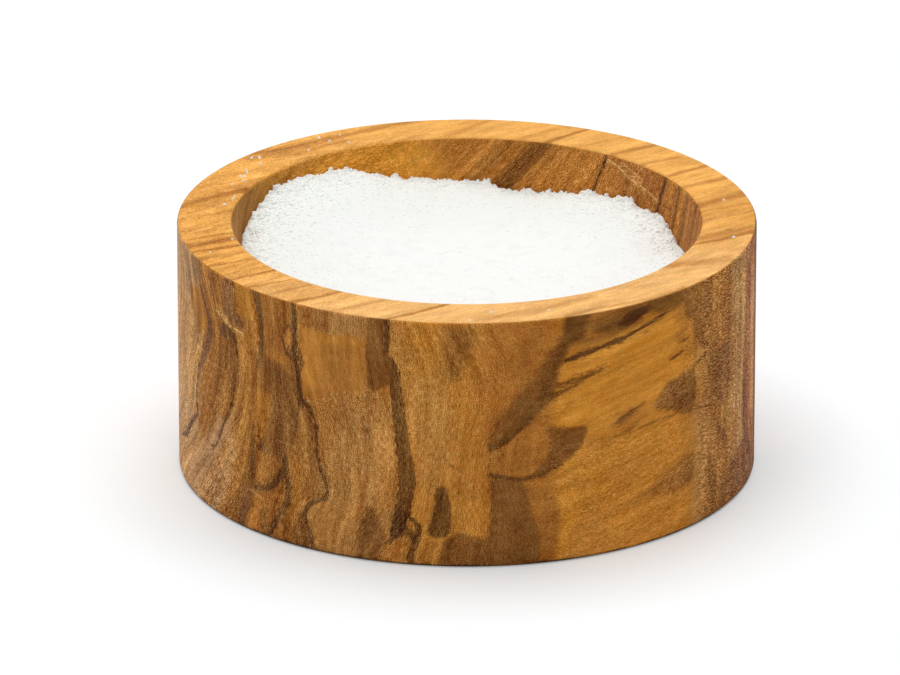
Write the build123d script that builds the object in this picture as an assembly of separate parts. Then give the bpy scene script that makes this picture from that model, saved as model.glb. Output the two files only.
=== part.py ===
from build123d import *
import math
import os

# Pinch bowl, turned from one block of olive wood and filled with loose salt.
# Sizes are in millimetres and angles in degrees.
# The origin is the centre of the underside, +Z is up, and -Y is the front.

# Bowl
outer_diameter = 90.0
bowl_height = 40.0
rim_width = 8.5
wall_lean = 9.0
floor_thickness = 7.0
hollow_corner_radius = 12.0
rim_outer_edge_radius = 0.5
rim_inner_edge_radius = 0.7
foot_edge_radius = 0.6

# Salt: it rests flat on the floor of the hollow and stands just clear of the wall
salt_wall_gap = 0.15
salt_corner_relief = 0.6
salt_below_rim = 7.0
salt_grid_step = 3.0

# Rises and hollows in the salt's surface. Each has its azimuth from +X, its distance from the
# axis as a share of the mouth's radius, its height and its spread.
salt_relief = [
    ("main heap at the back left", 145, 0.98, 4.2, 10.0),
    ("shoulder of the heap", 121, 0.97, 2.0, 6.0),
    ("dip at the back", 72, 1.00, -1.5, 5.0),
    ("rise at the back right", 45, 0.95, 0.5, 7.0),
    ("dip at the right", 13, 1.00, -3.0, 4.2),
    ("pinched hollow", 41, 0.36, -1.5, 7.5),
    ("tail of the hollow", 98, 0.55, -0.9, 5.0),
    ("crest in front of the hollow", -10, 0.35, 0.7, 6.0),
    ("swell left of the middle", 165, 0.45, 0.6, 8.0),
]

# Radii that follow from the sizes above
outer_radius = outer_diameter / 2
mouth_radius = outer_radius - rim_width
hollow_depth = bowl_height - floor_thickness
wall_run = hollow_depth * math.tan(math.radians(wall_lean))
hollow_floor_radius = mouth_radius - wall_run


def turned(section_sketch):
    """Solid turned about +Z from a half section drawn in the XZ plane."""
    return revolve(section_sketch, axis=Axis.Z, revolution_arc=360).solid()


def corner_at(sketch, x, z):
    """The corner of an XZ sketch that lies at x, z."""
    return sketch.vertices().sort_by_distance((x, 0, z))[0]


def hollow_section(wall_gap, corner_radius):
    """Half section of the space inside the wall, drawn in from the wall by wall_gap."""
    outline = Polyline(
        (0, floor_thickness),
        (hollow_floor_radius - wall_gap, floor_thickness),
        (mouth_radius - wall_gap, bowl_height),
        (0, bowl_height),
        close=True,
    )
    section = Plane.XZ * make_face(outline)
    floor_corner = corner_at(section, hollow_floor_radius - wall_gap, floor_thickness)
    return fillet(floor_corner, corner_radius)


def make_bowl():
    """The bowl: straight outer wall, flat rim, leaning inner wall and a flat floor."""
    block = Plane.XZ * make_face(
        Polyline((0, 0), (outer_radius, 0), (outer_radius, bowl_height), (0, bowl_height), close=True)
    )
    section = block - hollow_section(0, hollow_corner_radius)
    section = fillet(corner_at(section, outer_radius, 0), foot_edge_radius)
    section = fillet(corner_at(section, outer_radius, bowl_height), rim_outer_edge_radius)
    section = fillet(corner_at(section, mouth_radius, bowl_height), rim_inner_edge_radius)
    return turned(section)


def salt_height(x, y):
    """Height of the salt's surface over the point x, y."""
    height = bowl_height - salt_below_rim
    for _, azimuth, share, rise, spread in salt_relief:
        centre_x = share * mouth_radius * math.cos(math.radians(azimuth))
        centre_y = share * mouth_radius * math.sin(math.radians(azimuth))
        distance_squared = (x - centre_x) ** 2 + (y - centre_y) ** 2
        height += rise * math.exp(-distance_squared / (2 * spread**2))
    return height


def space_under_salt_surface():
    """A block that reaches from the heaped surface down past the floor."""
    half_width = mouth_radius + salt_grid_step
    steps = math.ceil(2 * half_width / salt_grid_step)
    places = [-half_width + 2 * half_width * step / steps for step in range(steps + 1)]
    grid = [[(x, y, salt_height(x, y)) for y in places] for x in places]
    surface = Face.make_surface_from_array_of_points(grid, tol=0.02)
    return extrude(surface, amount=bowl_height + salt_below_rim, dir=(0, 0, -1))


def make_salt():
    """The charge of salt: the hollow's shape, a little smaller, under the heaped surface."""
    charge = turned(hollow_section(salt_wall_gap, hollow_corner_radius + salt_corner_relief))
    return (charge & space_under_salt_surface()).solid()


parts = {
    "bowl": make_bowl(),
    "salt": make_salt(),
}

os.makedirs("parts", exist_ok=True)
for name, shape in parts.items():
    shape.label = name
    export_step(shape, f"parts/{name}.step")
    size = shape.bounding_box().size
    print(f"{name}: {size.X:.2f} x {size.Y:.2f} x {size.Z:.2f} mm, {shape.volume / 1000:.2f} cm3")
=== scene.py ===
import math

import bpy
import numpy as np
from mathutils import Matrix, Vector


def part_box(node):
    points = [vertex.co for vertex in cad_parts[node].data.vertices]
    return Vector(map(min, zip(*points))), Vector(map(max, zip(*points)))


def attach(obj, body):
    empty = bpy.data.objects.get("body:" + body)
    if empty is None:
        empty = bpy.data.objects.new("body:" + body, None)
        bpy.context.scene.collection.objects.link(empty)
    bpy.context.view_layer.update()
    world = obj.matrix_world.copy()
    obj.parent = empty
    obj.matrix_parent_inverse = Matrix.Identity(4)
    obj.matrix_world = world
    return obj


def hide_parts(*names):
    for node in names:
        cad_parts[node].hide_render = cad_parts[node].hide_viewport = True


# Pinch bowl turned from olive wood and filled with loose salt. Blender lengths are metres.
# Figures of the wood are given in millimetres and degrees, as on a drawing of the bowl.

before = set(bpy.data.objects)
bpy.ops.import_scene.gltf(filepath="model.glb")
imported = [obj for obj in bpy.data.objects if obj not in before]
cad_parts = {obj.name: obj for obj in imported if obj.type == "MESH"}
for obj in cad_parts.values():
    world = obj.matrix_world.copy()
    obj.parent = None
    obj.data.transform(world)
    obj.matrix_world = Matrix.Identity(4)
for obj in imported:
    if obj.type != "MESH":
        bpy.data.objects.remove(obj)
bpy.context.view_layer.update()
bowl_low, bowl_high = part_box("bowl")

MM = 0.001
outer_radius = (bowl_high.x - bowl_low.x) / 2 / MM
bowl_height = (bowl_high.z - bowl_low.z) / MM
rim_width = 8.5
wall_lean = math.radians(9)
floor_thickness = 7.0
hollow_corner_radius = 12.0
rim_outer_edge_radius = 0.5
rim_inner_edge_radius = 0.7
foot_edge_radius = 0.6
mouth_radius = outer_radius - rim_width
salt_below_rim = 7.0

# The wood's fibres run at this azimuth and rise a little towards it
fibre_azimuth = math.radians(37)
fibre_rise = math.radians(11)


def linear(colour):
    """An sRGB colour, 0 to 255, as linear light."""
    share = np.asarray(colour, float) / 255
    return np.where(share <= 0.04045, share / 12.92, ((share + 0.055) / 1.055) ** 2.4)


# Camera
image_width = 900
image_height = 675
sensor_width = 36
focal_length = 404.56
nearest_seen = 0.05
camera_elevation = math.radians(21.34)
camera_distance = 1.57715
camera_aim = Vector((-0.00261, 0.0, 0.02012))
towards_camera = Vector((0, -math.cos(camera_elevation), math.sin(camera_elevation)))
camera_data = bpy.data.cameras.new("camera")
camera_data.sensor_width = sensor_width
camera_data.lens = focal_length
camera_data.clip_start = nearest_seen
camera = bpy.data.objects.new("camera", camera_data)
camera.location = camera_aim + camera_distance * towards_camera
camera.rotation_euler = (math.pi / 2 - camera_elevation, 0, 0)
bpy.context.scene.collection.objects.link(camera)
bpy.context.scene.camera = camera
bpy.context.scene.view_settings.view_transform = "Standard"


# Helpers for meshes, nodes and numbers

def add_object(name, vertices, faces, material, smooth=True):
    """A mesh object from points in millimetres."""
    mesh = bpy.data.meshes.new(name)
    mesh.from_pydata((np.asarray(vertices, float) * MM).tolist(), [], faces)
    mesh.validate()
    mesh.materials.append(material)
    if smooth:
        mesh.shade_smooth()
    else:
        mesh.shade_flat()
    thing = bpy.data.objects.new(name, mesh)
    bpy.context.scene.collection.objects.link(thing)
    return thing


def node(tree, kind, values=None, **settings):
    """A shader node with its sockets set: a value, or a socket to link from."""
    made = tree.nodes.new(kind)
    for key, value in settings.items():
        setattr(made, key, value)
    for key, value in (values or {}).items():
        socket = made.inputs[key]
        if isinstance(value, bpy.types.NodeSocket):
            tree.links.new(value, socket)
        else:
            socket.default_value = value
    return made


def maths(tree, operation, *terms, clamp=False):
    """The result of one maths node; each term is a number or a socket."""
    made = node(tree, "ShaderNodeMath", dict(enumerate(terms)), operation=operation, use_clamp=clamp)
    return made.outputs[0]


def ramp(tree, value, low, high, to_low=0.0, to_high=1.0):
    """Smooth step of a value from low to high."""
    made = node(
        tree, "ShaderNodeMapRange",
        {"Value": value, "From Min": low, "From Max": high, "To Min": to_low, "To Max": to_high},
        interpolation_type="SMOOTHSTEP",
    )
    return made.outputs["Result"]


def mix_colour(tree, share, first, second):
    """The first colour where share is 0 and the second where it is 1."""
    made = tree.nodes.new("ShaderNodeMix")
    made.data_type = "RGBA"
    for index, value in ((0, share), (6, first), (7, second)):
        if isinstance(value, bpy.types.NodeSocket):
            tree.links.new(value, made.inputs[index])
        elif index:
            made.inputs[index].default_value = (*value, 1.0)
        else:
            made.inputs[index].default_value = value
    return made.outputs[2]


def noise(tree, vector, scale, detail):
    """Shader noise from 0 to 1, finer where scale and detail are higher."""
    values = {"Vector": vector, "Scale": scale, "Detail": detail, "Roughness": 0.5}
    return node(tree, "ShaderNodeTexNoise", values).outputs["Fac"]


def attribute(tree, name, colour=False):
    """A number or a colour that the mesh carries at each of its points."""
    made = node(tree, "ShaderNodeAttribute", attribute_name=name)
    return made.outputs["Color" if colour else "Fac"]


def new_material(name):
    """A material, its node tree and the socket that its shader is linked to."""
    material = bpy.data.materials.new(name)
    material.use_nodes = True
    tree = material.node_tree
    tree.nodes.clear()
    output = tree.nodes.new("ShaderNodeOutputMaterial")
    return material, tree, output.inputs["Surface"]


def smooth_step(value, low, high):
    """Rises smoothly from 0 at low to 1 at high."""
    share = np.clip((value - low) / (high - low), 0, 1)
    return share * share * (3 - 2 * share)


def from_table(table, place):
    """The value at a place, blended between the rows of a table of (place, value)."""
    return np.interp(place, *zip(*table))


def lattice(ix, iy, iz, seed):
    """A fixed random number from 0 to 1 for each whole-number point."""
    mixed = (ix * 374761393 + iy * 668265263 + iz * 1440662683 + seed * 362437) & 0xFFFFFFFF
    mixed = ((mixed ^ (mixed >> 13)) * 1274126177) & 0xFFFFFFFF
    mixed = mixed ^ (mixed >> 16)
    return (mixed & 0xFFFFFF) / float(0xFFFFFF)


def value_noise(points, size, seed=0):
    """Smooth noise from -1 to 1 at each point, with bumps about size across."""
    scaled = np.asarray(points, float) / size
    cell = np.floor(scaled).astype(np.int64)
    part = scaled - cell
    part = part * part * (3 - 2 * part)
    total = np.zeros(len(scaled))
    for corner in range(8):
        step = [(corner >> axis) & 1 for axis in range(3)]
        weight = np.ones(len(scaled))
        for axis in range(3):
            weight *= part[:, axis] if step[axis] else 1 - part[:, axis]
        total += weight * lattice(cell[:, 0] + step[0], cell[:, 1] + step[1], cell[:, 2] + step[2], seed)
    return total * 2 - 1


# The bowl's section, from the middle of the underside round to the middle of the floor

def arc(centre, radius, start, end, steps):
    """Points along an arc of the section, both ends included; angles in degrees from +r to +z."""
    angles = np.radians(np.linspace(start, end, steps + 1))
    return [
        (centre[0] + radius * math.cos(angle), centre[1] + radius * math.sin(angle)) for angle in angles
    ]


def run(start, end, steps):
    """Points along a straight run, both ends included."""
    way = np.asarray(end) - start
    return [tuple(np.asarray(start) + way * step / steps) for step in range(steps + 1)]


lean = math.degrees(wall_lean)
tangent = math.tan(math.pi / 4 - wall_lean / 2)
hollow_depth = bowl_height - floor_thickness
hollow_floor_radius = mouth_radius - hollow_depth * math.tan(wall_lean)
corner_tangent = hollow_corner_radius * tangent
rim_tangent = rim_inner_edge_radius * tangent


def on_inner_wall(depth):
    """The point of the inner wall's section at a depth below the rim."""
    return (mouth_radius - depth * math.tan(wall_lean), bowl_height - depth)


foot_rings = (6.0, 20.0, 33.0, 40.0)
floor_rings = (12.0, 5.0)
wall_rows = 88
rim_rows = 15
inner_rows = 21
visible_depth = 11.0
same_point = 1e-6

foot_edge_centre = (outer_radius - foot_edge_radius, foot_edge_radius)
outer_edge_centre = (outer_radius - rim_outer_edge_radius, bowl_height - rim_outer_edge_radius)
inner_edge_centre = (mouth_radius + rim_tangent, bowl_height - rim_inner_edge_radius)
corner_centre = (hollow_floor_radius - corner_tangent, floor_thickness + hollow_corner_radius)
rim_ends = ((outer_edge_centre[0], bowl_height), (inner_edge_centre[0], bowl_height))
wall_ends = ((outer_radius, foot_edge_centre[1]), (outer_radius, outer_edge_centre[1]))
inner_ends = (on_inner_wall(rim_tangent * math.cos(wall_lean)), on_inner_wall(visible_depth))
corner_top = (
    corner_centre[0] + hollow_corner_radius * math.cos(wall_lean),
    corner_centre[1] - hollow_corner_radius * math.sin(wall_lean),
)
section = []
section_zone = []


def add_section(zone_name, points):
    """Adds points to the section with their zone, and leaves out one that repeats the last."""
    for point in points:
        if section and math.dist(point, section[-1]) < same_point:
            continue
        section.append(point)
        section_zone.append(zone_name)


add_section("foot", [(radius, 0.0) for radius in foot_rings])
add_section("foot", arc(foot_edge_centre, foot_edge_radius, -90, -60, 1))
add_section("wall", arc(foot_edge_centre, foot_edge_radius, -60, 0, 2))
add_section("wall", run(*wall_ends, wall_rows))
add_section("wall", arc(outer_edge_centre, rim_outer_edge_radius, 0, 45, 2))
add_section("rim", arc(outer_edge_centre, rim_outer_edge_radius, 45, 90, 2))
add_section("rim", run(*rim_ends, rim_rows))
add_section("rim", arc(inner_edge_centre, rim_inner_edge_radius, 90, 130, 2))
add_section("inner", arc(inner_edge_centre, rim_inner_edge_radius, 130, 180 - lean, 2))
add_section("inner", run(*inner_ends, inner_rows))
add_section("inner", run(inner_ends[1], corner_top, 3))
add_section("inner", arc(corner_centre, hollow_corner_radius, -lean, -90, 5))
add_section("inner", [(radius, floor_thickness) for radius in floor_rings])
section = np.array(section)
section_zone = np.array(section_zone)

front_columns = 370
back_columns = 280
azimuths = np.radians(np.concatenate([
    np.linspace(-180, 0, front_columns, endpoint=False),
    np.linspace(0, 180, back_columns, endpoint=False),
]))
columns = len(azimuths)
rows = len(section)

ring_azimuth = np.tile(azimuths, rows)
ring_radius = np.repeat(section[:, 0], columns)
ring_height = np.repeat(section[:, 1], columns)
zone = np.repeat(section_zone, columns)
bowl_points = np.stack([
    ring_radius * np.cos(ring_azimuth),
    ring_radius * np.sin(ring_azimuth),
    ring_height,
], -1)
foot_centre = len(bowl_points)
floor_centre = foot_centre + 1
bowl_points = np.vstack([bowl_points, [[0, 0, 0], [0, 0, floor_thickness]]])
ring_azimuth = np.append(ring_azimuth, [0, 0])
ring_radius = np.append(ring_radius, [0, 0])
zone = np.append(zone, ["foot", "inner"])


def lathe_faces(rows, columns, first_centre, last_centre):
    """Faces between rings of points, closed at each end by a fan round a point on the axis."""
    column = np.arange(columns)
    following = (column + 1) % columns
    faces = []
    for row in range(rows - 1):
        near = row * columns
        far = near + columns
        faces += np.stack([near + column, near + following, far + following, far + column], -1).tolist()
    last = (rows - 1) * columns
    pairs = list(zip(column.tolist(), following.tolist()))
    faces += [(first_centre, second, first) for first, second in pairs]
    faces += [(last + first, last + second, last_centre) for first, second in pairs]
    return faces


bowl_faces = lathe_faces(rows, columns, foot_centre, floor_centre)

# The wood's figure, listed below. On the wall each point is (azimuth, height), on the rim
# (x, y) and on the inner wall (azimuth, depth below the rim). A third number is a half width.

wall_scale = math.radians(1) * outer_radius
inner_scale = math.radians(1) * (mouth_radius - 0.5)
degrees = np.degrees(ring_azimuth)
x, y, z = bowl_points.T

# Colours of the wood as they look in the light that each side gets, sRGB, with two painted shades: the
# contact shadow at the foot and the shade on the left of the inner wall
tones = {
    "pale": (188, 148, 110),
    "straw": (170, 127, 82),
    "mauve": (150, 114, 83),
    "grey tan": (163, 114, 59),
    "tan": (160, 108, 50),
    "golden": (188, 125, 45),
    "golden brown": (173, 115, 46),
    "amber": (159, 101, 41),
    "orange": (170, 108, 47),
    "brown": (147, 96, 45),
    "russet": (142, 89, 36),
    "umber": (118, 75, 33),
    "plum brown": (113, 71, 41),
    "dark": (102, 65, 26),
    "black brown": (78, 44, 18),
    "plum vein": (88, 56, 40),
    "grey vein": (94, 62, 32),
    "dark vein": (84, 52, 24),
    "olive vein": (80, 48, 19),
    "rust": (122, 72, 26),
    # painted contact shadow along the foot of the wall
    "foot contact shadow": (46, 32, 22),
    "rim left": (235, 168, 82),
    "rim back": (243, 178, 92),
    "rim front": (244, 187, 115),
    "rim stripe": (178, 112, 45),
    "scratch": (226, 186, 120),
    "honey": (184, 127, 66),
    # painted shade on the left of the inner wall
    "inner left shade": (138, 94, 42),
    "inner olive": (162, 112, 46),
    "inner gold": (196, 133, 48),
    "inner brown": (167, 108, 44),
    "inner red": (152, 96, 44),
    "inner dark": (104, 62, 22),
}
# Share of full light that the tones above were seen in. The foot of the wall gets less of it than the
# top, and the left and right sides seem paler because they are seen at a slant.
light_on = {
    "wall": np.array([0.665, 0.685, 0.74]),
    "rim": np.array([1.0, 1.0, 1.0]),
    "inner": np.array([0.67, 0.66, 0.66]),
    "foot": np.array([0.65, 0.65, 0.65]),
}
light_down_wall = [(0, 0.98), (1.5, 0.98), (3, 0.98), (6, 0.985), (10, 0.99), (18, 1.0)]
slant_haze = [(45, 0.0), (58, 0.006), (68, 0.018), (76, 0.036), (84, 0.05)]


def tone(name, zone_name):
    """A tone as the wood's own colour in one zone."""
    return linear(tones[name]) / light_on[zone_name]


out_of_reach = 1e6


def distance_to_line(points, line, widths):
    """Distance from each point to the edge of a line with a half width at each of its points."""
    best = np.full(len(points), out_of_reach)
    for k in range(len(line) - 1):
        start, end = line[k], line[k + 1]
        along = end - start
        share = np.clip(((points - start) @ along) / max(along @ along, 1e-9), 0, 1)
        gap = np.linalg.norm(points - start - share[:, None] * along, axis=1)
        best = np.minimum(best, gap - (widths[k] + share * (widths[k + 1] - widths[k])))
    return best


def distance_to_patch(points, outline):
    """Signed distance to a closed outline, negative inside."""
    closed = np.vstack([outline, outline[:1]])
    edge = distance_to_line(points, closed, np.zeros(len(closed)))
    inside = np.zeros(len(points), bool)
    for (x0, y0), (x1, y1) in zip(closed[:-1], closed[1:]):
        crosses = (y0 > points[:, 1]) != (y1 > points[:, 1])
        with np.errstate(divide="ignore", invalid="ignore"):
            at = x0 + (points[:, 1] - y0) * (x1 - x0) / (y1 - y0)
        inside ^= crosses & (points[:, 0] < at)
    return np.where(inside, -edge, edge)


def half_widths(points, width):
    """The half width at each point of a line: its own third number, or else width."""
    return [point[2] if len(point) > 2 else width for point in points]


class Surface:
    """One zone of the bowl, unrolled to flat millimetres, on which the figure is drawn."""

    def __init__(self, name, first, second, scale):
        self.name = name
        self.members = np.flatnonzero(zone == name)
        self.scale = np.array(scale)
        self.flat = np.stack([first[self.members], second[self.members]], -1) * self.scale
        solid = bowl_points[self.members]
        self.sway = 0.35 * value_noise(solid, 2.1, 11) + 0.18 * value_noise(solid, 0.9, 12)

    def place(self, points):
        """Drawn points in flat millimetres."""
        return np.array([point[:2] for point in points], float) * self.scale

    def line(self, points, width):
        """Distance of each point of the zone to the edge of a line."""
        return distance_to_line(self.flat, self.place(points), half_widths(points, width))

    def patch(self, points):
        """Distance of each point of the zone to an outline, negative inside."""
        return distance_to_patch(self.flat, self.place(points))


# What the mesh carries at each point. Edges and lines start farther off than the shader looks.
count = len(bowl_points)
far_off = 3.0
tone_layer = np.zeros((count, 3))
vein_edge = np.full(count, far_off)
vein_depth = np.zeros(count)
vein_tone = np.zeros((count, 3))
line_side = np.full(count, far_off)
line_width = np.zeros(count)
line_cover = np.zeros(count)
line_tone = np.zeros((count, 3))
ring_layer = np.zeros(count)
end_grain = np.zeros(count)
speckle = np.zeros(count)
sanded = np.zeros(count)
banding = np.full(count, 0.4)

# How far the drawn edges follow the sway of the wood. A patch's softness is added to its own.
patch_sway = 0.4
line_sway = 0.5
vein_sway = 0.3
stain_sway = 0.4
speckle_sway = 0.8
fine_sway = 0.25

# A fine line's cover fades out over these distances beside it and past its ends, in mm
beside_line = (-0.65, -0.35)
past_line = (-0.6, -0.1)
least_cover = 0.02


def paint(surface, name, share, near):
    """Lays a share of a tone over a surface where near is 1, and none where it is 0."""
    colour = tone(name, surface.name)
    cover = (share * near)[:, None]
    here = surface.members
    tone_layer[here] = tone_layer[here] * (1 - cover) + colour * cover


def patches(surface, rows_of_patches):
    """Patches of a tone with soft edges."""
    for name, share, soft, outline in rows_of_patches:
        edge = surface.patch(outline) + surface.sway * min(1.0, patch_sway + soft)
        paint(surface, name, share, smooth_step(-edge, -soft, soft))


def soft_lines(surface, rows_of_lines):
    """Lines of a tone with soft edges."""
    for name, share, soft, width, points in rows_of_lines:
        edge = surface.line(points, width) + surface.sway * line_sway
        paint(surface, name, share, smooth_step(-edge, -soft, soft))


def lay_crisp(surface, name, depth, edge):
    """Keeps the nearest crisp edge at each point, with its tone and how fully the tone covers."""
    here = surface.members
    nearer = edge < vein_edge[here]
    vein_depth[here] = np.where(nearer, depth, vein_depth[here])
    vein_tone[here] = np.where(nearer[:, None], tone(name, surface.name), vein_tone[here])
    vein_edge[here] = np.minimum(edge, vein_edge[here])


def veins(surface, rows_of_veins):
    """Crisp dark lines, kept as distances so that the shader can draw a ragged edge."""
    for name, depth, width, points in rows_of_veins:
        lay_crisp(surface, name, depth, surface.line(points, width) + surface.sway * vein_sway)


def crisp_patches(surface, rows_of_patches):
    """Stains with an edge as crisp as a vein's."""
    for name, depth, outline in rows_of_patches:
        lay_crisp(surface, name, depth, surface.patch(outline) + surface.sway * stain_sway)


def speckles(surface, rows_of_patches):
    """How dusty the grain looks, from 0 on oiled side grain to 1 on rough end grain."""
    here = surface.members
    for value, soft, outline in rows_of_patches:
        near = smooth_step(-(surface.patch(outline) + surface.sway * speckle_sway), -soft, soft)
        speckle[here] = speckle[here] * (1 - near) + value * near


def fine_lines(surface, rows_of_lines):
    """Lines finer than the mesh. Each point keeps which side of the line it is on, and how far off."""
    here = surface.members
    for name, depth, width, points in rows_of_lines:
        line = surface.place(points)
        widths = half_widths(points, width)
        last = len(line) - 2
        best = np.full(len(here), out_of_reach)
        side, wide, past = np.zeros((3, len(here)))
        for k in range(last + 1):
            along = line[k + 1] - line[k]
            length = math.hypot(*along)
            offset = surface.flat - line[k]
            reach = offset @ along / length
            share = np.clip(reach / length, 0, 1)
            gap = np.linalg.norm(offset - share[:, None] * along, axis=1)
            across = (along[0] * offset[:, 1] - along[1] * offset[:, 0]) / length
            before = np.maximum(-reach, 0) if k == 0 else 0.0
            after = np.maximum(reach - length, 0) if k == last else 0.0
            beyond = before + after
            nearer = gap < best
            side = np.where(nearer, np.where(beyond > 0, across, np.sign(across) * gap), side)
            wide = np.where(nearer, widths[k] + share * (widths[k + 1] - widths[k]), wide)
            past = np.where(nearer, beyond, past)
            best = np.minimum(gap, best)
        cover = depth * smooth_step(wide - best, *beside_line) * smooth_step(-past, *past_line)
        side = side + surface.sway * fine_sway
        closer = np.abs(side) - wide < np.abs(line_side[here]) - line_width[here]
        nearer = (cover > least_cover) & closer
        for layer, values in ((line_side, side), (line_width, wide), (line_cover, cover)):
            layer[here] = np.where(nearer, values, layer[here])
        line_tone[here] = np.where(nearer[:, None], tone(name, surface.name), line_tone[here])


def lay_ground(surface, ground, azimuth):
    """Fills a surface with tones that blend into each other from one azimuth to the next."""
    stops = [stop for stop, _ in ground]
    colours = np.array([tone(name, surface.name) for _, name in ground])
    for channel in range(3):
        tone_layer[surface.members, channel] = np.interp(azimuth, stops, colours[:, channel])


wall = Surface("wall", degrees, z, (wall_scale, 1.0))
rim = Surface("rim", x, y, (1.0, 1.0))
inner = Surface("inner", degrees, bowl_height - z, (inner_scale, 1.0))
foot = Surface("foot", x, y, (1.0, 1.0))

# Ground tone round the wall: azimuth and tone
wall_ground = [
    (-180, "pale"), (-163, "pale"), (-158, "straw"), (-155, "brown"), (-147, "brown"), (-140, "tan"),
    (-136, "amber"), (-131, "russet"), (-127, "russet"), (-125, "tan"), (-120, "grey tan"),
    (-108, "grey tan"), (-100, "golden brown"), (-95, "golden brown"), (-90, "golden brown"),
    (-85, "amber"), (-74, "amber"), (-71, "golden"), (-44, "golden"), (-40, "golden brown"),
    (-37, "grey tan"), (-32, "brown"), (-26, "grey tan"), (-23, "straw"), (-18, "straw"), (-14, "brown"),
    (-8, "brown"), (-3, "plum brown"), (3, "brown"), (8, "grey tan"), (24, "tan"), (40, "brown"),
    (55, "tan"), (70, "amber"), (84, "golden brown"), (100, "golden"), (150, "golden"),
    (165, "golden brown"), (173, "straw"), (180, "pale"),
]
ground_sway = 1.5 * value_noise(bowl_points[wall.members], 7.0, 3)
lay_ground(wall, wall_ground, degrees[wall.members] + ground_sway)

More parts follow.
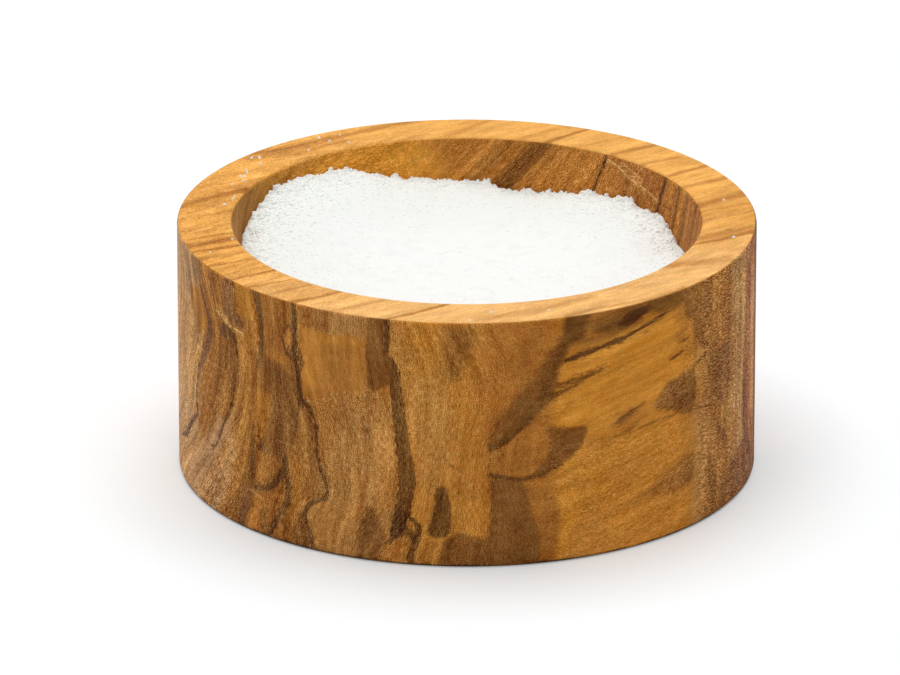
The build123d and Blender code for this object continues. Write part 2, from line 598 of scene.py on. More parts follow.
# The outline of the dark spot, which is drawn twice: soft, and then crisp
dark_spot = [
    (-95.7, 13), (-94, 13.1), (-93.3, 10.4), (-93.2, 7.8), (-93.9, 5.2), (-96.6, 4.9), (-97.7, 5.5),
    (-97, 8.2), (-96.3, 11),
]
patches(wall, [
    ("straw", 0.3, 1.2, [(-181, -1), (-181, 9), (-166, 9.5), (-158, 12.5), (-153, 10.5), (-149, 10.5),
        (-146.5, 13.5), (-147, 9), (-149.5, 5), (-151, -1)]),
    ("straw", 0.7, 1.8, [(-170, 33), (-160, 32), (-156.5, 26), (-159, 18), (-160, 14), (-164, 14),
        (-168, 22)]),
    ("straw", 0.6, 1.2, [(-151, -1), (-149.5, 5), (-147, 9), (-146, 13.5), (-142.6, 19), (-141.8, 12),
        (-144, 6), (-147.5, -1)]),
    ("mauve", 0.85, 1.2, [(-169, 40), (-157, 39.8), (-154.5, 37), (-157.5, 35.8), (-160, 35),
        (-161.5, 33), (-167, 33)]),
    ("tan", 0.8, 0.6, [(-159.9, 34.5), (-157.7, 35.6), (-155.3, 34.8), (-153, 32.6), (-152.4, 30.5),
        (-153.4, 28.4), (-156, 28.2), (-158.6, 30.2), (-160, 31.5)]),
    ("plum vein", 0.85, 0.5, [(-147.3, 32), (-144.5, 32.5), (-142.6, 31.8), (-143, 30.3), (-145.5, 29.9),
        (-147.3, 30.6)]),
    ("plum brown", 0.9, 0.5, [(-145.9, 40.8), (-142.7, 40.8), (-142.5, 37.8), (-141.6, 35.2),
        (-139.8, 33.8), (-139.9, 32.6), (-143, 33.1), (-145.8, 34.2), (-146.5, 36.4)]),
    ("golden brown", 0.75, 0.6, [(-142.2, 40.8), (-136.9, 40.8), (-136.2, 38), (-136.6, 35.4),
        (-140, 34.8), (-141.6, 36.5)]),
    ("amber", 0.55, 0.8, [(-140, 32.4), (-135.2, 32.2), (-135.6, 28.4), (-139, 28.8)]),
    ("golden brown", 0.5, 0.7, [(-133, 31.6), (-127, 31), (-127.2, 28.6), (-132.5, 29.9)]),
    ("umber", 0.5, 0.7, [(-136.6, 30.5), (-132, 30.5), (-132, 25), (-133.4, 18), (-135.6, 18),
        (-135.4, 25)]),
    ("umber", 0.75, 0.7, [(-136.4, 15), (-132, 15.4), (-129.6, 13.2), (-133, 12.4), (-136.2, 12.6)]),
    ("umber", 1.0, 0.5, [(-134, 29.2), (-131, 29.6), (-127.9, 28.4), (-125.4, 25.8), (-124.9, 22),
        (-125.6, 17.6), (-127.7, 14.4), (-128.4, 12), (-130.5, 9.6), (-133.5, 8), (-136.2, 7.4),
        (-136.7, 9), (-134.6, 10.5), (-135.3, 14), (-133.6, 16.5), (-132.3, 20), (-131.6, 23.5),
        (-132.6, 26)]),
    ("golden brown", 0.7, 0.5, [(-135.2, 24), (-132.6, 23.6), (-132, 21), (-133.1, 17.5), (-134.9, 15.6),
        (-135.7, 17), (-135.9, 20)]),
    ("umber", 0.4, 0.8, [(-128, 29), (-124.6, 28.6), (-124, 20), (-127.6, 20)]),
    ("umber", 0.35, 0.6, [(-119.4, 27), (-117, 27), (-117, 22), (-119.4, 22)]),
    ("golden brown", 0.4, 0.8, [(-128, 14), (-124.4, 14), (-124.6, 4), (-130, 4), (-129, 8)]),
    ("amber", 0.6, 0.6, [(-136.2, 13.8), (-129.4, 13.8), (-128.9, 12.4), (-131, 10), (-133.8, 8.4),
        (-135.9, 8.8), (-136.4, 11)]),
    ("orange", 0.85, 0.5, [(-138.4, 4), (-135.7, 5), (-134.9, 2.4), (-136, -1), (-139.4, -1)]),
    ("umber", 0.8, 0.5, [(-134.9, 4.2), (-133, 4.7), (-132.1, 1), (-132.4, -1), (-135.4, -1)]),
    ("orange", 0.9, 0.3, [(-126.9, 35.7), (-128.1, 34.8), (-128.3, 33.4), (-127.6, 32.1),
        (-126.8, 31.7)]),
    ("russet", 0.8, 0.5, [(-124.3, 40.8), (-117.6, 40.8), (-118, 36.6), (-124.3, 36.2)]),
    ("straw", 0.2, 0.8, [(-121.5, 40.8), (-110.4, 40.8), (-110.4, 36.6), (-121, 37.6)]),
    ("golden brown", 1.0, 0.35, [(-124.3, 36.4), (-110.1, 36.4), (-110.1, 27.6), (-117, 27.4),
        (-118.6, 26.4), (-120, 25.2), (-122.5, 24.9), (-124, 25.6)]),
    ("russet", 0.72, 0.8, [(-119.4, 34.8), (-110.1, 35), (-110.1, 27.6), (-117, 27.4), (-118.8, 27),
        (-119.3, 31)]),
    ("golden brown", 0.35, 0.5, [(-124, 33.2), (-112, 33), (-112, 31.8), (-124, 31.9)]),
    ("honey", 0.2, 0.6, [(-124, 36), (-110.4, 36), (-110.4, 28), (-117, 27.8), (-120, 25.6), (-124, 26)]),
    ("russet", 0.5, 0.9, [(-120.4, 29.4), (-115.4, 29), (-115.4, 23), (-120.4, 23.4)]),
    ("amber", 0.6, 0.5, [(-121.8, 27), (-120.4, 25.4), (-117.5, 26.6), (-114.5, 27.4), (-118, 28.4)]),
    ("umber", 0.98, 0.3, [(-109.8, 41), (-105.4, 41), (-105.4, 34.6), (-104.4, 32), (-104.2, 29.6),
        (-106, 29.2), (-108.2, 28), (-109.6, 28.2), (-109.7, 31)]),
    ("amber", 0.6, 0.6, [(-108.6, 29.4), (-105, 30.2), (-104, 28.4), (-104, 25.5), (-106, 26.4),
        (-107.6, 27.6)]),
    ("umber", 0.9, 0.5, [(-124.2, 7), (-122.6, 7.4), (-122.9, 4.8), (-122.1, 1.8), (-121.6, -1),
        (-126, -1), (-126.2, 3), (-125.4, 5.6)]),
    ("russet", 0.9, 0.5, [(-122.9, 12.6), (-121.1, 15.6), (-119.7, 13.4), (-118.6, 10.6), (-119.3, 9.3),
        (-121.2, 8.7), (-123, 7.6), (-123.6, 9.4)]),
    ("umber", 0.65, 0.5, [(-123.2, 23.8), (-121.9, 23.2), (-120.9, 20.2), (-120.9, 16), (-119.7, 13),
        (-118.8, 10.6), (-119, 9.2), (-121, 8.4), (-123, 6.8), (-122.9, 8.8), (-122.3, 12), (-122.4, 16),
        (-122.9, 20)]),
    ("tan", 0.6, 0.7, [(-122, 8), (-118.6, 8.6), (-115.8, 6.6), (-116.4, 1.5), (-118.6, -1), (-121.2, -1),
        (-122.6, 4)]),
    ("umber", 0.85, 0.5, [(-111.2, 6.4), (-109.8, 9.6), (-108.2, 8.4), (-106.6, 5.4), (-105.6, 3.4),
        (-107, 1), (-107.3, -1), (-112, -1), (-111.7, 3)]),
    ("orange", 0.6, 0.5, [(-106.8, 2.2), (-104.6, 4), (-102.6, 4.6), (-101.9, 1.5), (-102, -1),
        (-107, -1)]),
    ("dark", 0.9, 0.4, [(-104.9, 9.5), (-102.4, 9), (-101.4, 6.6), (-100, 5.4), (-100.2, 3.6),
        (-102, 4.8), (-103.8, 5.2), (-105.6, 3.6)]),
    ("orange", 0.9, 0.2, [(-102.2, 7.9), (-100.8, 7), (-100.8, 6.2), (-101.9, 6.7)]),
    ("umber", 0.7, 1.1, [(-94.8, 39.2), (-88.8, 39.8), (-88.6, 37), (-90.4, 34.4), (-91, 30.8),
        (-93.6, 30.6), (-94.8, 35)]),
    ("russet", 0.8, 1.2, [(-123.6, 27), (-115.5, 27), (-115, 23), (-116.6, 19), (-118.6, 15),
        (-121.4, 14.5), (-122.4, 18)]),
    ("russet", 0.7, 0.9, [(-111.6, 27), (-108.4, 27), (-108.6, 23), (-110.6, 22.6)]),
    ("honey", 0.85, 0.8, [(-107.8, 22), (-105.4, 23), (-104.4, 19), (-104.8, 8.6), (-107.6, 8.2)]),
    ("golden", 0.45, 0.9, [(-100.4, 41), (-96, 41), (-96, 35.5), (-100, 35.5)]),
    ("grey tan", 0.5, 1.5, [(-100.5, 31), (-95, 33), (-92.8, 26), (-92.8, 17), (-97, 11), (-99, 14),
        (-101, 24)]),
    ("dark", 0.97, 0.3, dark_spot),
    ("umber", 0.95, 0.4, [(-94.6, 4.2), (-92, 5.6), (-88, 5), (-86.2, 4.6), (-87, 1), (-88, -1),
        (-96.4, -1), (-95.6, 1.5)]),
    ("russet", 0.5, 0.6, [(-99.4, 4.6), (-95.6, 4.4), (-96.4, -1), (-100.6, -1)]),
    ("umber", 0.95, 0.9, [(-70.6, 41), (-66, 41), (-66.4, 36.2), (-69.6, 35.6), (-72.4, 31), (-73, 28.6),
        (-72.6, 27), (-76.2, 24.8), (-78, 23), (-81.3, 21.4), (-83.4, 19.4), (-85.6, 19), (-85.9, 20.6),
        (-84.2, 23.8), (-81.3, 26.8), (-78.2, 30), (-74.7, 33.8), (-71.4, 37.6)]),
    ("dark", 0.9, 0.4, [(-70.4, 41), (-65.7, 41), (-65.5, 37.5), (-66.9, 36), (-69.8, 35.6),
        (-70.8, 37.4)]),
    ("dark", 0.75, 0.6, [(-71.2, 35.8), (-69.7, 35.4), (-71.2, 32.6), (-73, 29.8), (-73.2, 27.3),
        (-76.4, 24.9), (-79, 22.7), (-83, 20), (-84.4, 20.8), (-80.6, 23.6), (-77, 26.8), (-74, 30.6)]),
    ("russet", 0.45, 0.9, [(-79.4, 37.4), (-75.4, 38), (-76, 32), (-79.8, 29)]),
    ("amber", 0.95, 0.4, [(-85.5, 19.4), (-82.6, 20.2), (-79, 22.6), (-76, 23.2), (-73, 22.3),
        (-74.4, 16), (-78.6, 14.4), (-85.3, 15.2)]),
    ("russet", 0.5, 0.7, [(-85.4, 19), (-80, 20.4), (-75.4, 19.6), (-75.4, 15.4), (-78.6, 14.4),
        (-85.2, 15.2)]),
    ("russet", 0.5, 1.0, [(-93, 15), (-88.4, 15), (-88.6, 11), (-92, 11.4)]),
    ("umber", 0.8, 1.0, [(-7.6, 41), (0, 41), (0, -1), (-7.6, -1)]),
    ("umber", 0.95, 0.35, [(-74.4, 22.3), (-70.5, 21.9), (-66.3, 21.8), (-66, 20.9), (-67.4, 18.6),
        (-69.5, 16.9), (-72, 15.7), (-75.2, 14.5), (-78.8, 14), (-76.4, 15.8), (-74.6, 17.6),
        (-73.4, 20)]),
    ("russet", 0.6, 0.5, [(-74.8, 22.4), (-71.2, 22), (-71.6, 19.4), (-74.2, 18.6)]),
    ("umber", 0.98, 0.4, [(-85.5, 15.4), (-79.6, 14.4), (-78.2, 12.4), (-77.6, 9.4), (-75.9, 6),
        (-75.6, 2), (-76.6, -1), (-88.2, -1), (-87.2, 2.4), (-85.8, 6), (-85.3, 10)]),
    ("dark", 0.55, 0.9, [(-81.5, 11.5), (-78.6, 10), (-77.2, 6), (-77, -1), (-81.5, -1), (-81, 5)]),
    ("russet", 0.85, 0.9, [(-79, 13.6), (-75, 12.2), (-72, 10), (-71.2, 6), (-72.2, 3), (-73.6, -1),
        (-76.4, -1), (-75.6, 3), (-77.4, 8)]),
    ("golden brown", 0.6, 3.0, [(-63, 17.4), (-52, 20), (-40, 19), (-38, 12), (-50, 10.4), (-64, 12)]),
    ("golden brown", 0.7, 1.2, [(-78.6, 13.6), (-70, 15.8), (-66, 19.2), (-60, 18.6), (-66, 12),
        (-70.4, 2), (-72, -1), (-60, -1), (-64, 8), (-70, 12.8), (-75, 12.8)]),
    ("dark", 0.75, 0.5, [(-66, 41), (-40, 41), (-42, 39.5), (-47, 38.9), (-52, 38.2), (-57.6, 36.4),
        (-63, 36.4), (-65.8, 37.4)]),
    ("russet", 0.55, 0.6, [(-66, 37.2), (-58, 36.1), (-52, 37.8), (-46, 38.6), (-45.4, 37.7), (-53, 36.2),
        (-62, 34.8), (-69, 33.6), (-69.6, 35.2)]),
    ("umber", 0.6, 0.5, [(-67, 39.6), (-60, 40.8), (-51, 40.8), (-52, 39.6), (-58, 38.6), (-60, 37),
        (-66, 36.8)]),
    ("orange", 0.35, 0.3, [(-65.4, 38.8), (-61, 39), (-58, 39.7), (-62, 40), (-65.5, 39.9)]),
    ("black brown", 0.9, 0.3, [(-59.6, 37.6), (-57.6, 38.7), (-55.4, 39.3), (-52, 39.2), (-51, 38.7),
        (-53, 38), (-55.5, 37.3), (-57.6, 36.7), (-59.2, 36.8)]),
    ("russet", 0.5, 0.5, [(-46.4, 33.4), (-42.2, 33.6), (-41, 31.8), (-44, 31.5)]),
    ("dark", 0.8, 0.5, [(-52, 41), (-37, 41), (-39, 38.4), (-44, 37.2), (-49, 37.6), (-53, 38.4)]),
    ("russet", 0.6, 0.7, [(-46, 37.2), (-41, 37), (-40, 33), (-42, 32.8), (-45, 35)]),
    ("umber", 0.97, 0.6, [(-51, 22.4), (-49.2, 24.6), (-46.6, 26), (-43.4, 26.2), (-39.4, 26.4),
        (-38.9, 24), (-38.9, 20), (-41, 19.5), (-43.6, 20), (-46, 21), (-48.6, 21.6)]),
    ("dark", 0.4, 0.8, [(-46.5, 25.2), (-42, 26), (-41, 23.5), (-43, 20.8), (-47, 21.6)]),
    ("umber", 0.8, 0.9, [(-52.6, 8.6), (-49.6, 10.4), (-45.6, 11.4), (-43, 12.5), (-39.4, 12.7),
        (-39.2, 10), (-39.3, 7.8), (-43, 7.1), (-46, 7), (-51.2, 7.2)]),
    ("brown", 0.9, 0.5, [(-43.6, 41), (-42.3, 36.6), (-40.3, 34.4), (-39.3, 30.8), (-35.7, 28.4),
        (-32, 27.7), (-26, 28), (-26, 41)]),
    ("tan", 0.8, 0.8, [(-38.6, 26.4), (-36.4, 27.2), (-35.8, 21), (-38.4, 20.6)]),
    ("umber", 0.75, 0.8, [(-35.4, 26.2), (-33, 28), (-25.6, 27.6), (-25.5, 22), (-26.2, 17.8),
        (-29.6, 17.2), (-31.6, 19.6), (-35, 20.4)]),
    ("straw", 0.15, 0.9, [(-40.2, 19.2), (-34.4, 19.2), (-34, 15.6), (-31.4, 12.6), (-31.4, 8),
        (-34.4, 7.8), (-36.4, 3), (-38.4, -1), (-41, -1), (-39.4, 6.5), (-39.2, 13)]),
    ("straw", 0.35, 0.9, [(-26, 39), (-20.5, 38.6), (-18.2, 30), (-19.4, 22), (-19.6, 12), (-24, 9),
        (-27, 15), (-26, 26)]),
    ("russet", 0.55, 0.9, [(-26, 16), (-21.5, 14), (-21.8, 8.5), (-26.4, 8)]),
    ("umber", 0.85, 1.2, [(-27, 6.5), (-22, 8), (-16, 9.4), (-11, 5), (-8, -1), (-31, -1), (-29.6, 4)]),
    ("russet", 0.5, 1.0, [(-32, 33), (-27, 33), (-26, 24), (-22, 22), (-22, 27), (-26, 37), (-32, 38)]),
    ("amber", 0.45, 2.5, [(-66, 10), (-44, 12), (-42, -1), (-70, -1)]),
    ("amber", 0.5, 1.5, [(-60, 23.5), (-47, 25), (-44, 20), (-60, 19.5)]),
    ("russet", 0.35, 1.2, [(-67, 20.5), (-60, 23), (-53, 24), (-52, 21.5), (-60, 19), (-66, 18)]),
    ("umber", 0.4, 1.0, [(-25, 41), (-16, 41), (-16, 37), (-24, 36)]),
    ("umber", 0.4, 1.0, [(-27.4, 32), (-20.5, 31), (-20.5, 20), (-27, 20)]),
    ("umber", 0.55, 1.0, [(-44, 41), (-33, 41), (-34, 34), (-37, 31), (-40, 33), (-43, 37)]),
    ("golden brown", 0.8, 0.7, [(-13.2, 31), (-12.2, 37), (-8.6, 37), (-8.4, 22), (-8.6, 10), (-12.8, 11),
        (-13.6, 17), (-12.8, 24)]),
    ("pale", 0.5, 0.9, [(-12.6, 31), (-11.8, 36), (-8.6, 36), (-8.4, 22), (-9, 11), (-12.6, 12)]),
])
soft_lines(wall, [
    ("umber", 0.5, 0.5, 0.25, [(-160.4, 34), (-160.4, 31.4), (-158.4, 29.4), (-156, 28)]),
    ("umber", 0.85, 0.8, 1.3, [(-143.6, 31), (-143.2, 27), (-142.9, 24), (-143.2, 21.2, 0.6)]),
    ("umber", 0.35, 0.8, 0.8, [(-145.4, 28), (-147, 24), (-149, 20)]),
    ("russet", 0.5, 0.6, 0.5, [(-149.5, 30), (-150.6, 26), (-152.6, 22), (-153.6, 18), (-156.4, 13.6)]),
    ("umber", 0.5, 0.5, 0.35, [(-147, 20), (-149.6, 16.5), (-153, 12.6)]),
    ("pale", 0.5, 1.2, 1.6, [(-163, 5), (-156, 8), (-150, 12), (-146.5, 15)]),
    ("pale", 0.4, 1.2, 1.6, [(-160, 1), (-152, 4), (-146, 8)]),
    ("russet", 0.5, 0.5, 0.35, [(-151.2, 5), (-147.4, 9), (-144.4, 13.2), (-141.6, 18)]),
    ("umber", 0.45, 0.4, 0.12, [(-155.5, 0.8), (-150.4, 4.8), (-147.3, 8), (-143.2, 12)]),
    ("russet", 0.6, 0.5, 0.4, [(-149, -1), (-144.8, 4.8), (-141, 9.6), (-139.4, 13)]),
    ("umber", 0.9, 0.6, 1.2, [(-137, 17.6, 0.3), (-137.3, 13, 0.6), (-137.8, 9, 1.2), (-138.9, 5.6, 2.0),
        (-140.8, 2.4, 1.8), (-142.4, -1, 1.6)]),
    ("plum brown", 0.9, 0.5, 0.8, [(-138.2, 6.8, 0.4), (-139.2, 4.2, 1.1), (-140.2, 1.8, 1.0),
        (-141.4, -1, 0.6)]),
    ("umber", 0.8, 0.4, 0.45, [(-128.1, 14.6), (-128.8, 11.4), (-130.7, 9), (-133, 7.7), (-136.2, 7.2),
        (-137.2, 9.6), (-136.9, 13)]),
    ("umber", 0.55, 0.6, 0.6, [(-127.4, 11), (-127.2, 8), (-128.8, 5), (-131.2, 2), (-132.6, -1)]),
    ("umber", 0.4, 0.6, 0.7, [(-134.8, 38), (-133.8, 33), (-134.2, 29)]),
    ("umber", 0.6, 0.6, 0.7, [(-127.4, 32), (-126.4, 28), (-126, 23), (-126.6, 18.6)]),
    ("pale", 0.5, 0.8, 0.9, [(-149, 12), (-151.5, 9), (-155, 5.5), (-159, 2)]),
    ("pale", 0.5, 0.6, 0.7, [(-147.4, 4.5), (-150, 1.5), (-152, -1)]),
    ("pale", 0.4, 0.8, 0.9, [(-164, 12.6), (-170, 10)]),
    ("brown", 0.5, 0.6, 0.7, [(-158, 9.4), (-162, 7), (-167, 4.4)]),
    ("russet", 0.5, 0.5, 0.6, [(-143.4, 10), (-146, 6.8), (-149.6, 2.8)]),
    ("umber", 0.55, 0.5, 0.35, [(-135.2, 28), (-136.6, 24), (-137.6, 20.8), (-137.2, 17.6)]),
    ("umber", 0.5, 0.5, 0.3, [(-130.6, 40), (-130.3, 36), (-131.4, 32.6)]),
    ("plum brown", 0.6, 0.4, 0.5, [(-150.4, 39), (-150.2, 37.4), (-151, 35.8)]),
    ("plum brown", 0.5, 0.4, 0.3, [(-166.4, 40.5), (-165.4, 38)]),
    ("umber", 0.5, 0.5, 0.5, [(-122.4, 22), (-122.1, 18), (-122.2, 14.6)]),
    ("umber", 0.5, 0.3, 0.15, [(-117, 41), (-117, 37.2)]),
    ("umber", 0.4, 0.3, 0.15, [(-115.4, 41), (-115.3, 37)]),
    ("umber", 0.7, 0.5, 0.35, [(-109.6, 27.5), (-109.3, 24), (-109.6, 20.6)]),
    ("russet", 0.6, 0.3, 0.2, [(-108.5, 27), (-108.5, 22), (-109, 17), (-110, 12.6), (-110.6, 9)]),
    ("umber", 0.4, 0.3, 0.2, [(-110.5, 27), (-110.2, 23), (-110.6, 19)]),
    ("russet", 0.9, 0.5, 0.6, [(-110, 14), (-110.9, 10.4), (-111.4, 7)]),
    ("honey", 0.7, 0.3, 0.14, [(-110.6, 14.6), (-111.8, 10), (-113.2, 5.8), (-114.4, 3.6)]),
    ("russet", 0.5, 0.4, 0.2, [(-112, 15), (-112.6, 10.6), (-114.4, 5)]),
    ("honey", 0.6, 0.3, 0.12, [(-112.2, 12.4), (-113.4, 8.6), (-115.4, 4)]),
    ("honey", 0.6, 0.6, 0.6, [(-99.6, 19.4), (-98.7, 16.6), (-99.5, 14.4)]),
    ("honey", 0.5, 0.5, 0.4, [(-101.4, 29), (-101, 25), (-100.3, 21.6)]),
    ("honey", 0.8, 0.4, 0.3, [(-105.5, 34.5), (-104.6, 33.7)]),
    ("honey", 0.4, 0.5, 0.3, [(-94.2, 15.9), (-91.4, 15.2)]),
    ("golden", 0.35, 0.9, 0.7, [(-88.4, 10.6), (-87.6, 8.6), (-88.4, 5.6)]),
    ("russet", 0.45, 0.4, 0.25, [(-71.4, 31.6), (-66, 32), (-63.4, 32.6)]),
    ("dark", 0.75, 0.35, 0.3, [(-70.6, 32.9, 0.3), (-67, 33.6, 0.45), (-62, 34.4), (-57, 35.2),
        (-53.5, 36, 0.2), (-49, 36.9, 0.1)]),
    ("umber", 0.6, 0.4, 0.5, [(-66, 35.4), (-60, 36.2), (-54, 37.2)]),
    ("umber", 0.55, 0.4, 0.3, [(-64, 39), (-58, 40)]),
    ("umber", 0.5, 0.4, 0.3, [(-51, 36.2), (-46, 37.2), (-43.4, 37.8)]),
    ("russet", 0.4, 0.4, 0.3, [(-70, 26), (-65, 27), (-60, 28.2)]),
    ("russet", 0.3, 0.6, 0.4, [(-69, 5), (-61, 6.6), (-53, 8.2)]),
    ("russet", 0.8, 0.4, 0.4, [(-61.6, 18.6, 0.1), (-58.4, 19.5, 0.4), (-54.8, 20.6, 0.1)]),
    ("rust", 0.9, 0.35, 0.55, [(-61.2, 20.9, 0.1), (-58.6, 21.6, 0.55), (-56, 22.6, 0.45),
        (-53, 23.4, 0.1)]),
    ("dark", 0.75, 0.3, 0.3, [(-60.4, 21.3, 0.05), (-58.4, 21.8, 0.4), (-55.8, 22.7, 0.1)]),
    ("rust", 0.8, 0.35, 0.35, [(-59.8, 19.2, 0.05), (-57, 19.7, 0.35), (-54.4, 20.3, 0.05)]),
    ("rust", 0.7, 0.3, 0.25, [(-45.8, 32.5, 0.05), (-43, 33.2), (-41.2, 33.7)]),
    ("rust", 0.7, 0.3, 0.2, [(-43.6, 31.7), (-41.4, 31.4)]),
    ("rust", 0.5, 0.4, 0.3, [(-66, 38.4), (-62, 39.2), (-58.6, 40)]),
    ("black brown", 0.8, 0.2, 0.2, [(-53.8, 34.9, 0.05), (-52.6, 35.1, 0.2), (-51.2, 35.4, 0.05)]),
    ("dark", 0.6, 0.4, 0.35, [(-64.6, 36.8), (-61.4, 37.4), (-58.6, 38)]),
    ("rust", 0.85, 0.4, 0.55, [(-73, 28.9, 0.2), (-68.6, 29.5, 0.35), (-66, 30, 0.55),
        (-62.4, 30.8, 0.1)]),
    ("russet", 0.7, 0.4, 0.4, [(-73.6, 27.4, 0.3), (-70, 28.2, 0.4), (-66.4, 29.2, 0.1)]),
    ("umber", 0.6, 0.6, 0.7, [(-42.9, 39.6), (-41.6, 36.2), (-39.4, 34), (-38.4, 31), (-35.2, 29.2)]),
    ("umber", 0.85, 0.6, 0.7, [(-33.4, 20.6), (-33, 17.4), (-32, 15), (-29.6, 13.4), (-28, 11)]),
    ("umber", 0.85, 0.7, 1.0, [(-33.6, 9), (-32.4, 5), (-31.8, -1)]),
    ("umber", 0.5, 0.6, 0.4, [(-28.4, 27), (-27.6, 20), (-28.4, 12), (-27.4, 6)]),
    ("brown", 0.8, 0.7, 0.8, [(-15, 36), (-16.2, 29), (-17, 24), (-17.2, 18), (-17.2, 12), (-15, 8.4)]),
    ("plum brown", 0.75, 0.9, 1.3, [(-16.8, 21, 0.8), (-17.2, 17), (-17, 12), (-16, 8.4), (-13.8, 6, 0.9),
        (-12, 4.6, 0.4)]),
    ("umber", 0.35, 1.0, 1.2, [(-14.6, 36), (-15.4, 30), (-16.4, 24)]),
    ("plum brown", 0.4, 0.5, 0.5, [(-5, 40), (-4.4, 25), (-4.8, 10), (-5.4, 0)]),
    # A dark line round the foot of the wall: painted contact shadow where the bowl meets the floor
    ("foot contact shadow", 1.0, 0.2, 0.32, [(-181, 0.1), (-90, 0.1), (0, 0.1), (90, 0.1), (181, 0.1)]),
])

# Growth rings that show as close fine lines above the diagonal stain
first_ring = [(-86.6, 39.4), (-84.6, 35), (-82.2, 30.6)]
ring_step = 1.25
close_rings = 6
soft_lines(wall, [
    ("rust", 0.4, 0.25, 0.12, [(azimuth + ring_step * ring, height) for azimuth, height in first_ring])
    for ring in range(close_rings)
])
front_veins = [
    ("plum vein", 0.75, 0.5, [(-155.5, 36, 0.15), (-153.5, 34, 0.3), (-152.5, 32.8, 0.4),
        (-151.4, 30.8, 0.75), (-151.3, 29.2, 1.0), (-152.1, 27.6, 1.0), (-153.1, 26, 0.9),
        (-154.6, 24, 0.75), (-156.3, 22.4, 0.65), (-157.1, 20.4), (-158, 18, 0.4), (-158, 16, 0.35),
        (-157.3, 14.4, 0.35), (-159.1, 13, 0.3), (-161.2, 11.8, 0.45), (-163.2, 10.2, 0.5),
        (-164.7, 8.8, 0.5), (-167.8, 7.8, 0.3), (-170.9, 6.6, 0.05)]),
    ("dark vein", 0.7, 0.2, [(-144.2, 32, 0.4), (-142.8, 30.8, 0.4), (-141.8, 29.6, 0.2),
        (-141.3, 27.6, 0.12), (-141.3, 25.6, 0.1), (-141.8, 23.6, 0.12), (-142.5, 22, 0.16),
        (-142.8, 20.8), (-143.8, 18.8), (-145.3, 16.8), (-146.6, 15.2), (-147.6, 13.6), (-148.8, 11.6),
        (-149.6, 11.1, 0.16), (-151.4, 10.8, 0.12), (-153, 11.4, 0.08), (-154, 11.3, 0.02)]),
    ("grey vein", 0.85, 0.5, [(-136.4, 41, 0.9), (-135.1, 38, 0.7), (-134.1, 35.6), (-134.2, 32),
        (-134.6, 29.5), (-135.3, 27.6, 0.3)]),
    ("dark vein", 0.9, 0.45, [(-126.1, 41), (-125.6, 36), (-125.8, 32), (-124.9, 28.6), (-124.5, 25),
        (-125, 22, 0.2)]),
    ("dark vein", 0.8, 0.2, [(-126.3, 36.5), (-128.2, 35.3), (-128.8, 34), (-128.4, 32.5), (-127.4, 31.4),
        (-126, 30.4)]),
    ("dark vein", 0.7, 0.18, [(-125.3, 33.2), (-124.2, 31.9), (-123.7, 30.6), (-124.3, 29.2),
        (-125, 28.4)]),
    ("dark vein", 0.85, 0.3, [(-124.4, 24.8, 0.4), (-122.7, 23.8, 0.45), (-121.3, 22.4), (-120.7, 20.4),
        (-120.6, 18), (-120.7, 16), (-119.8, 14), (-118.8, 12), (-118.4, 10.4), (-118.8, 9.2),
        (-120.3, 8.6), (-121.9, 7.8, 0.4), (-123, 6.8), (-123.3, 5.6), (-122.9, 4), (-121.9, 2, 0.4),
        (-121.2, -1, 0.45)]),
    ("dark vein", 0.7, 0.5, [(-127.9, 14.6, 0.4), (-128.6, 12, 0.5), (-130.6, 9.6), (-133, 8.2),
        (-136.4, 7.6, 0.4)]),
    ("dark vein", 0.6, 0.35, [(-136.4, 16, 0.25), (-137.1, 12.4), (-137.3, 9)]),
    ("dark vein", 0.6, 0.3, [(-135.4, 18.6, 0.15), (-134.9, 16), (-134.4, 14.6, 0.2)]),
    ("grey vein", 0.85, 0.5, [(-128.2, 14.4), (-127.7, 10.4), (-127.5, 7.4), (-129.6, 4.6), (-131.8, 1.6),
        (-133, -1)]),
    ("dark vein", 0.85, 0.4, [(-105.6, 41), (-105.5, 37.6), (-105.7, 34.9, 0.3)]),
    ("olive vein", 0.8, 0.5, [(-101.9, 8, 0.25), (-100.1, 7.3, 0.35), (-99.4, 6.4), (-99.5, 5.4),
        (-100.1, 4, 0.6), (-100.9, 2, 0.6), (-101.5, -1)]),
]
broad_veins = [
    ("olive vein", 0.82, 1.1, [(-105, 33.7, 0.25), (-104.4, 32.6, 0.5), (-104.1, 30.6, 0.8),
        (-103.8, 28, 0.95), (-103.2, 24, 1.1), (-102.6, 20, 1.15), (-101.9, 16.4, 1.25),
        (-101.7, 13.6, 1.4), (-102.3, 10.6, 1.25), (-103, 8, 1.2), (-103.9, 5.2, 0.95),
        (-105.1, 3.8, 0.35), (-105.7, 3.2, 0.1)]),
]
fine_lines(wall, front_veins)
veins(wall, broad_veins)
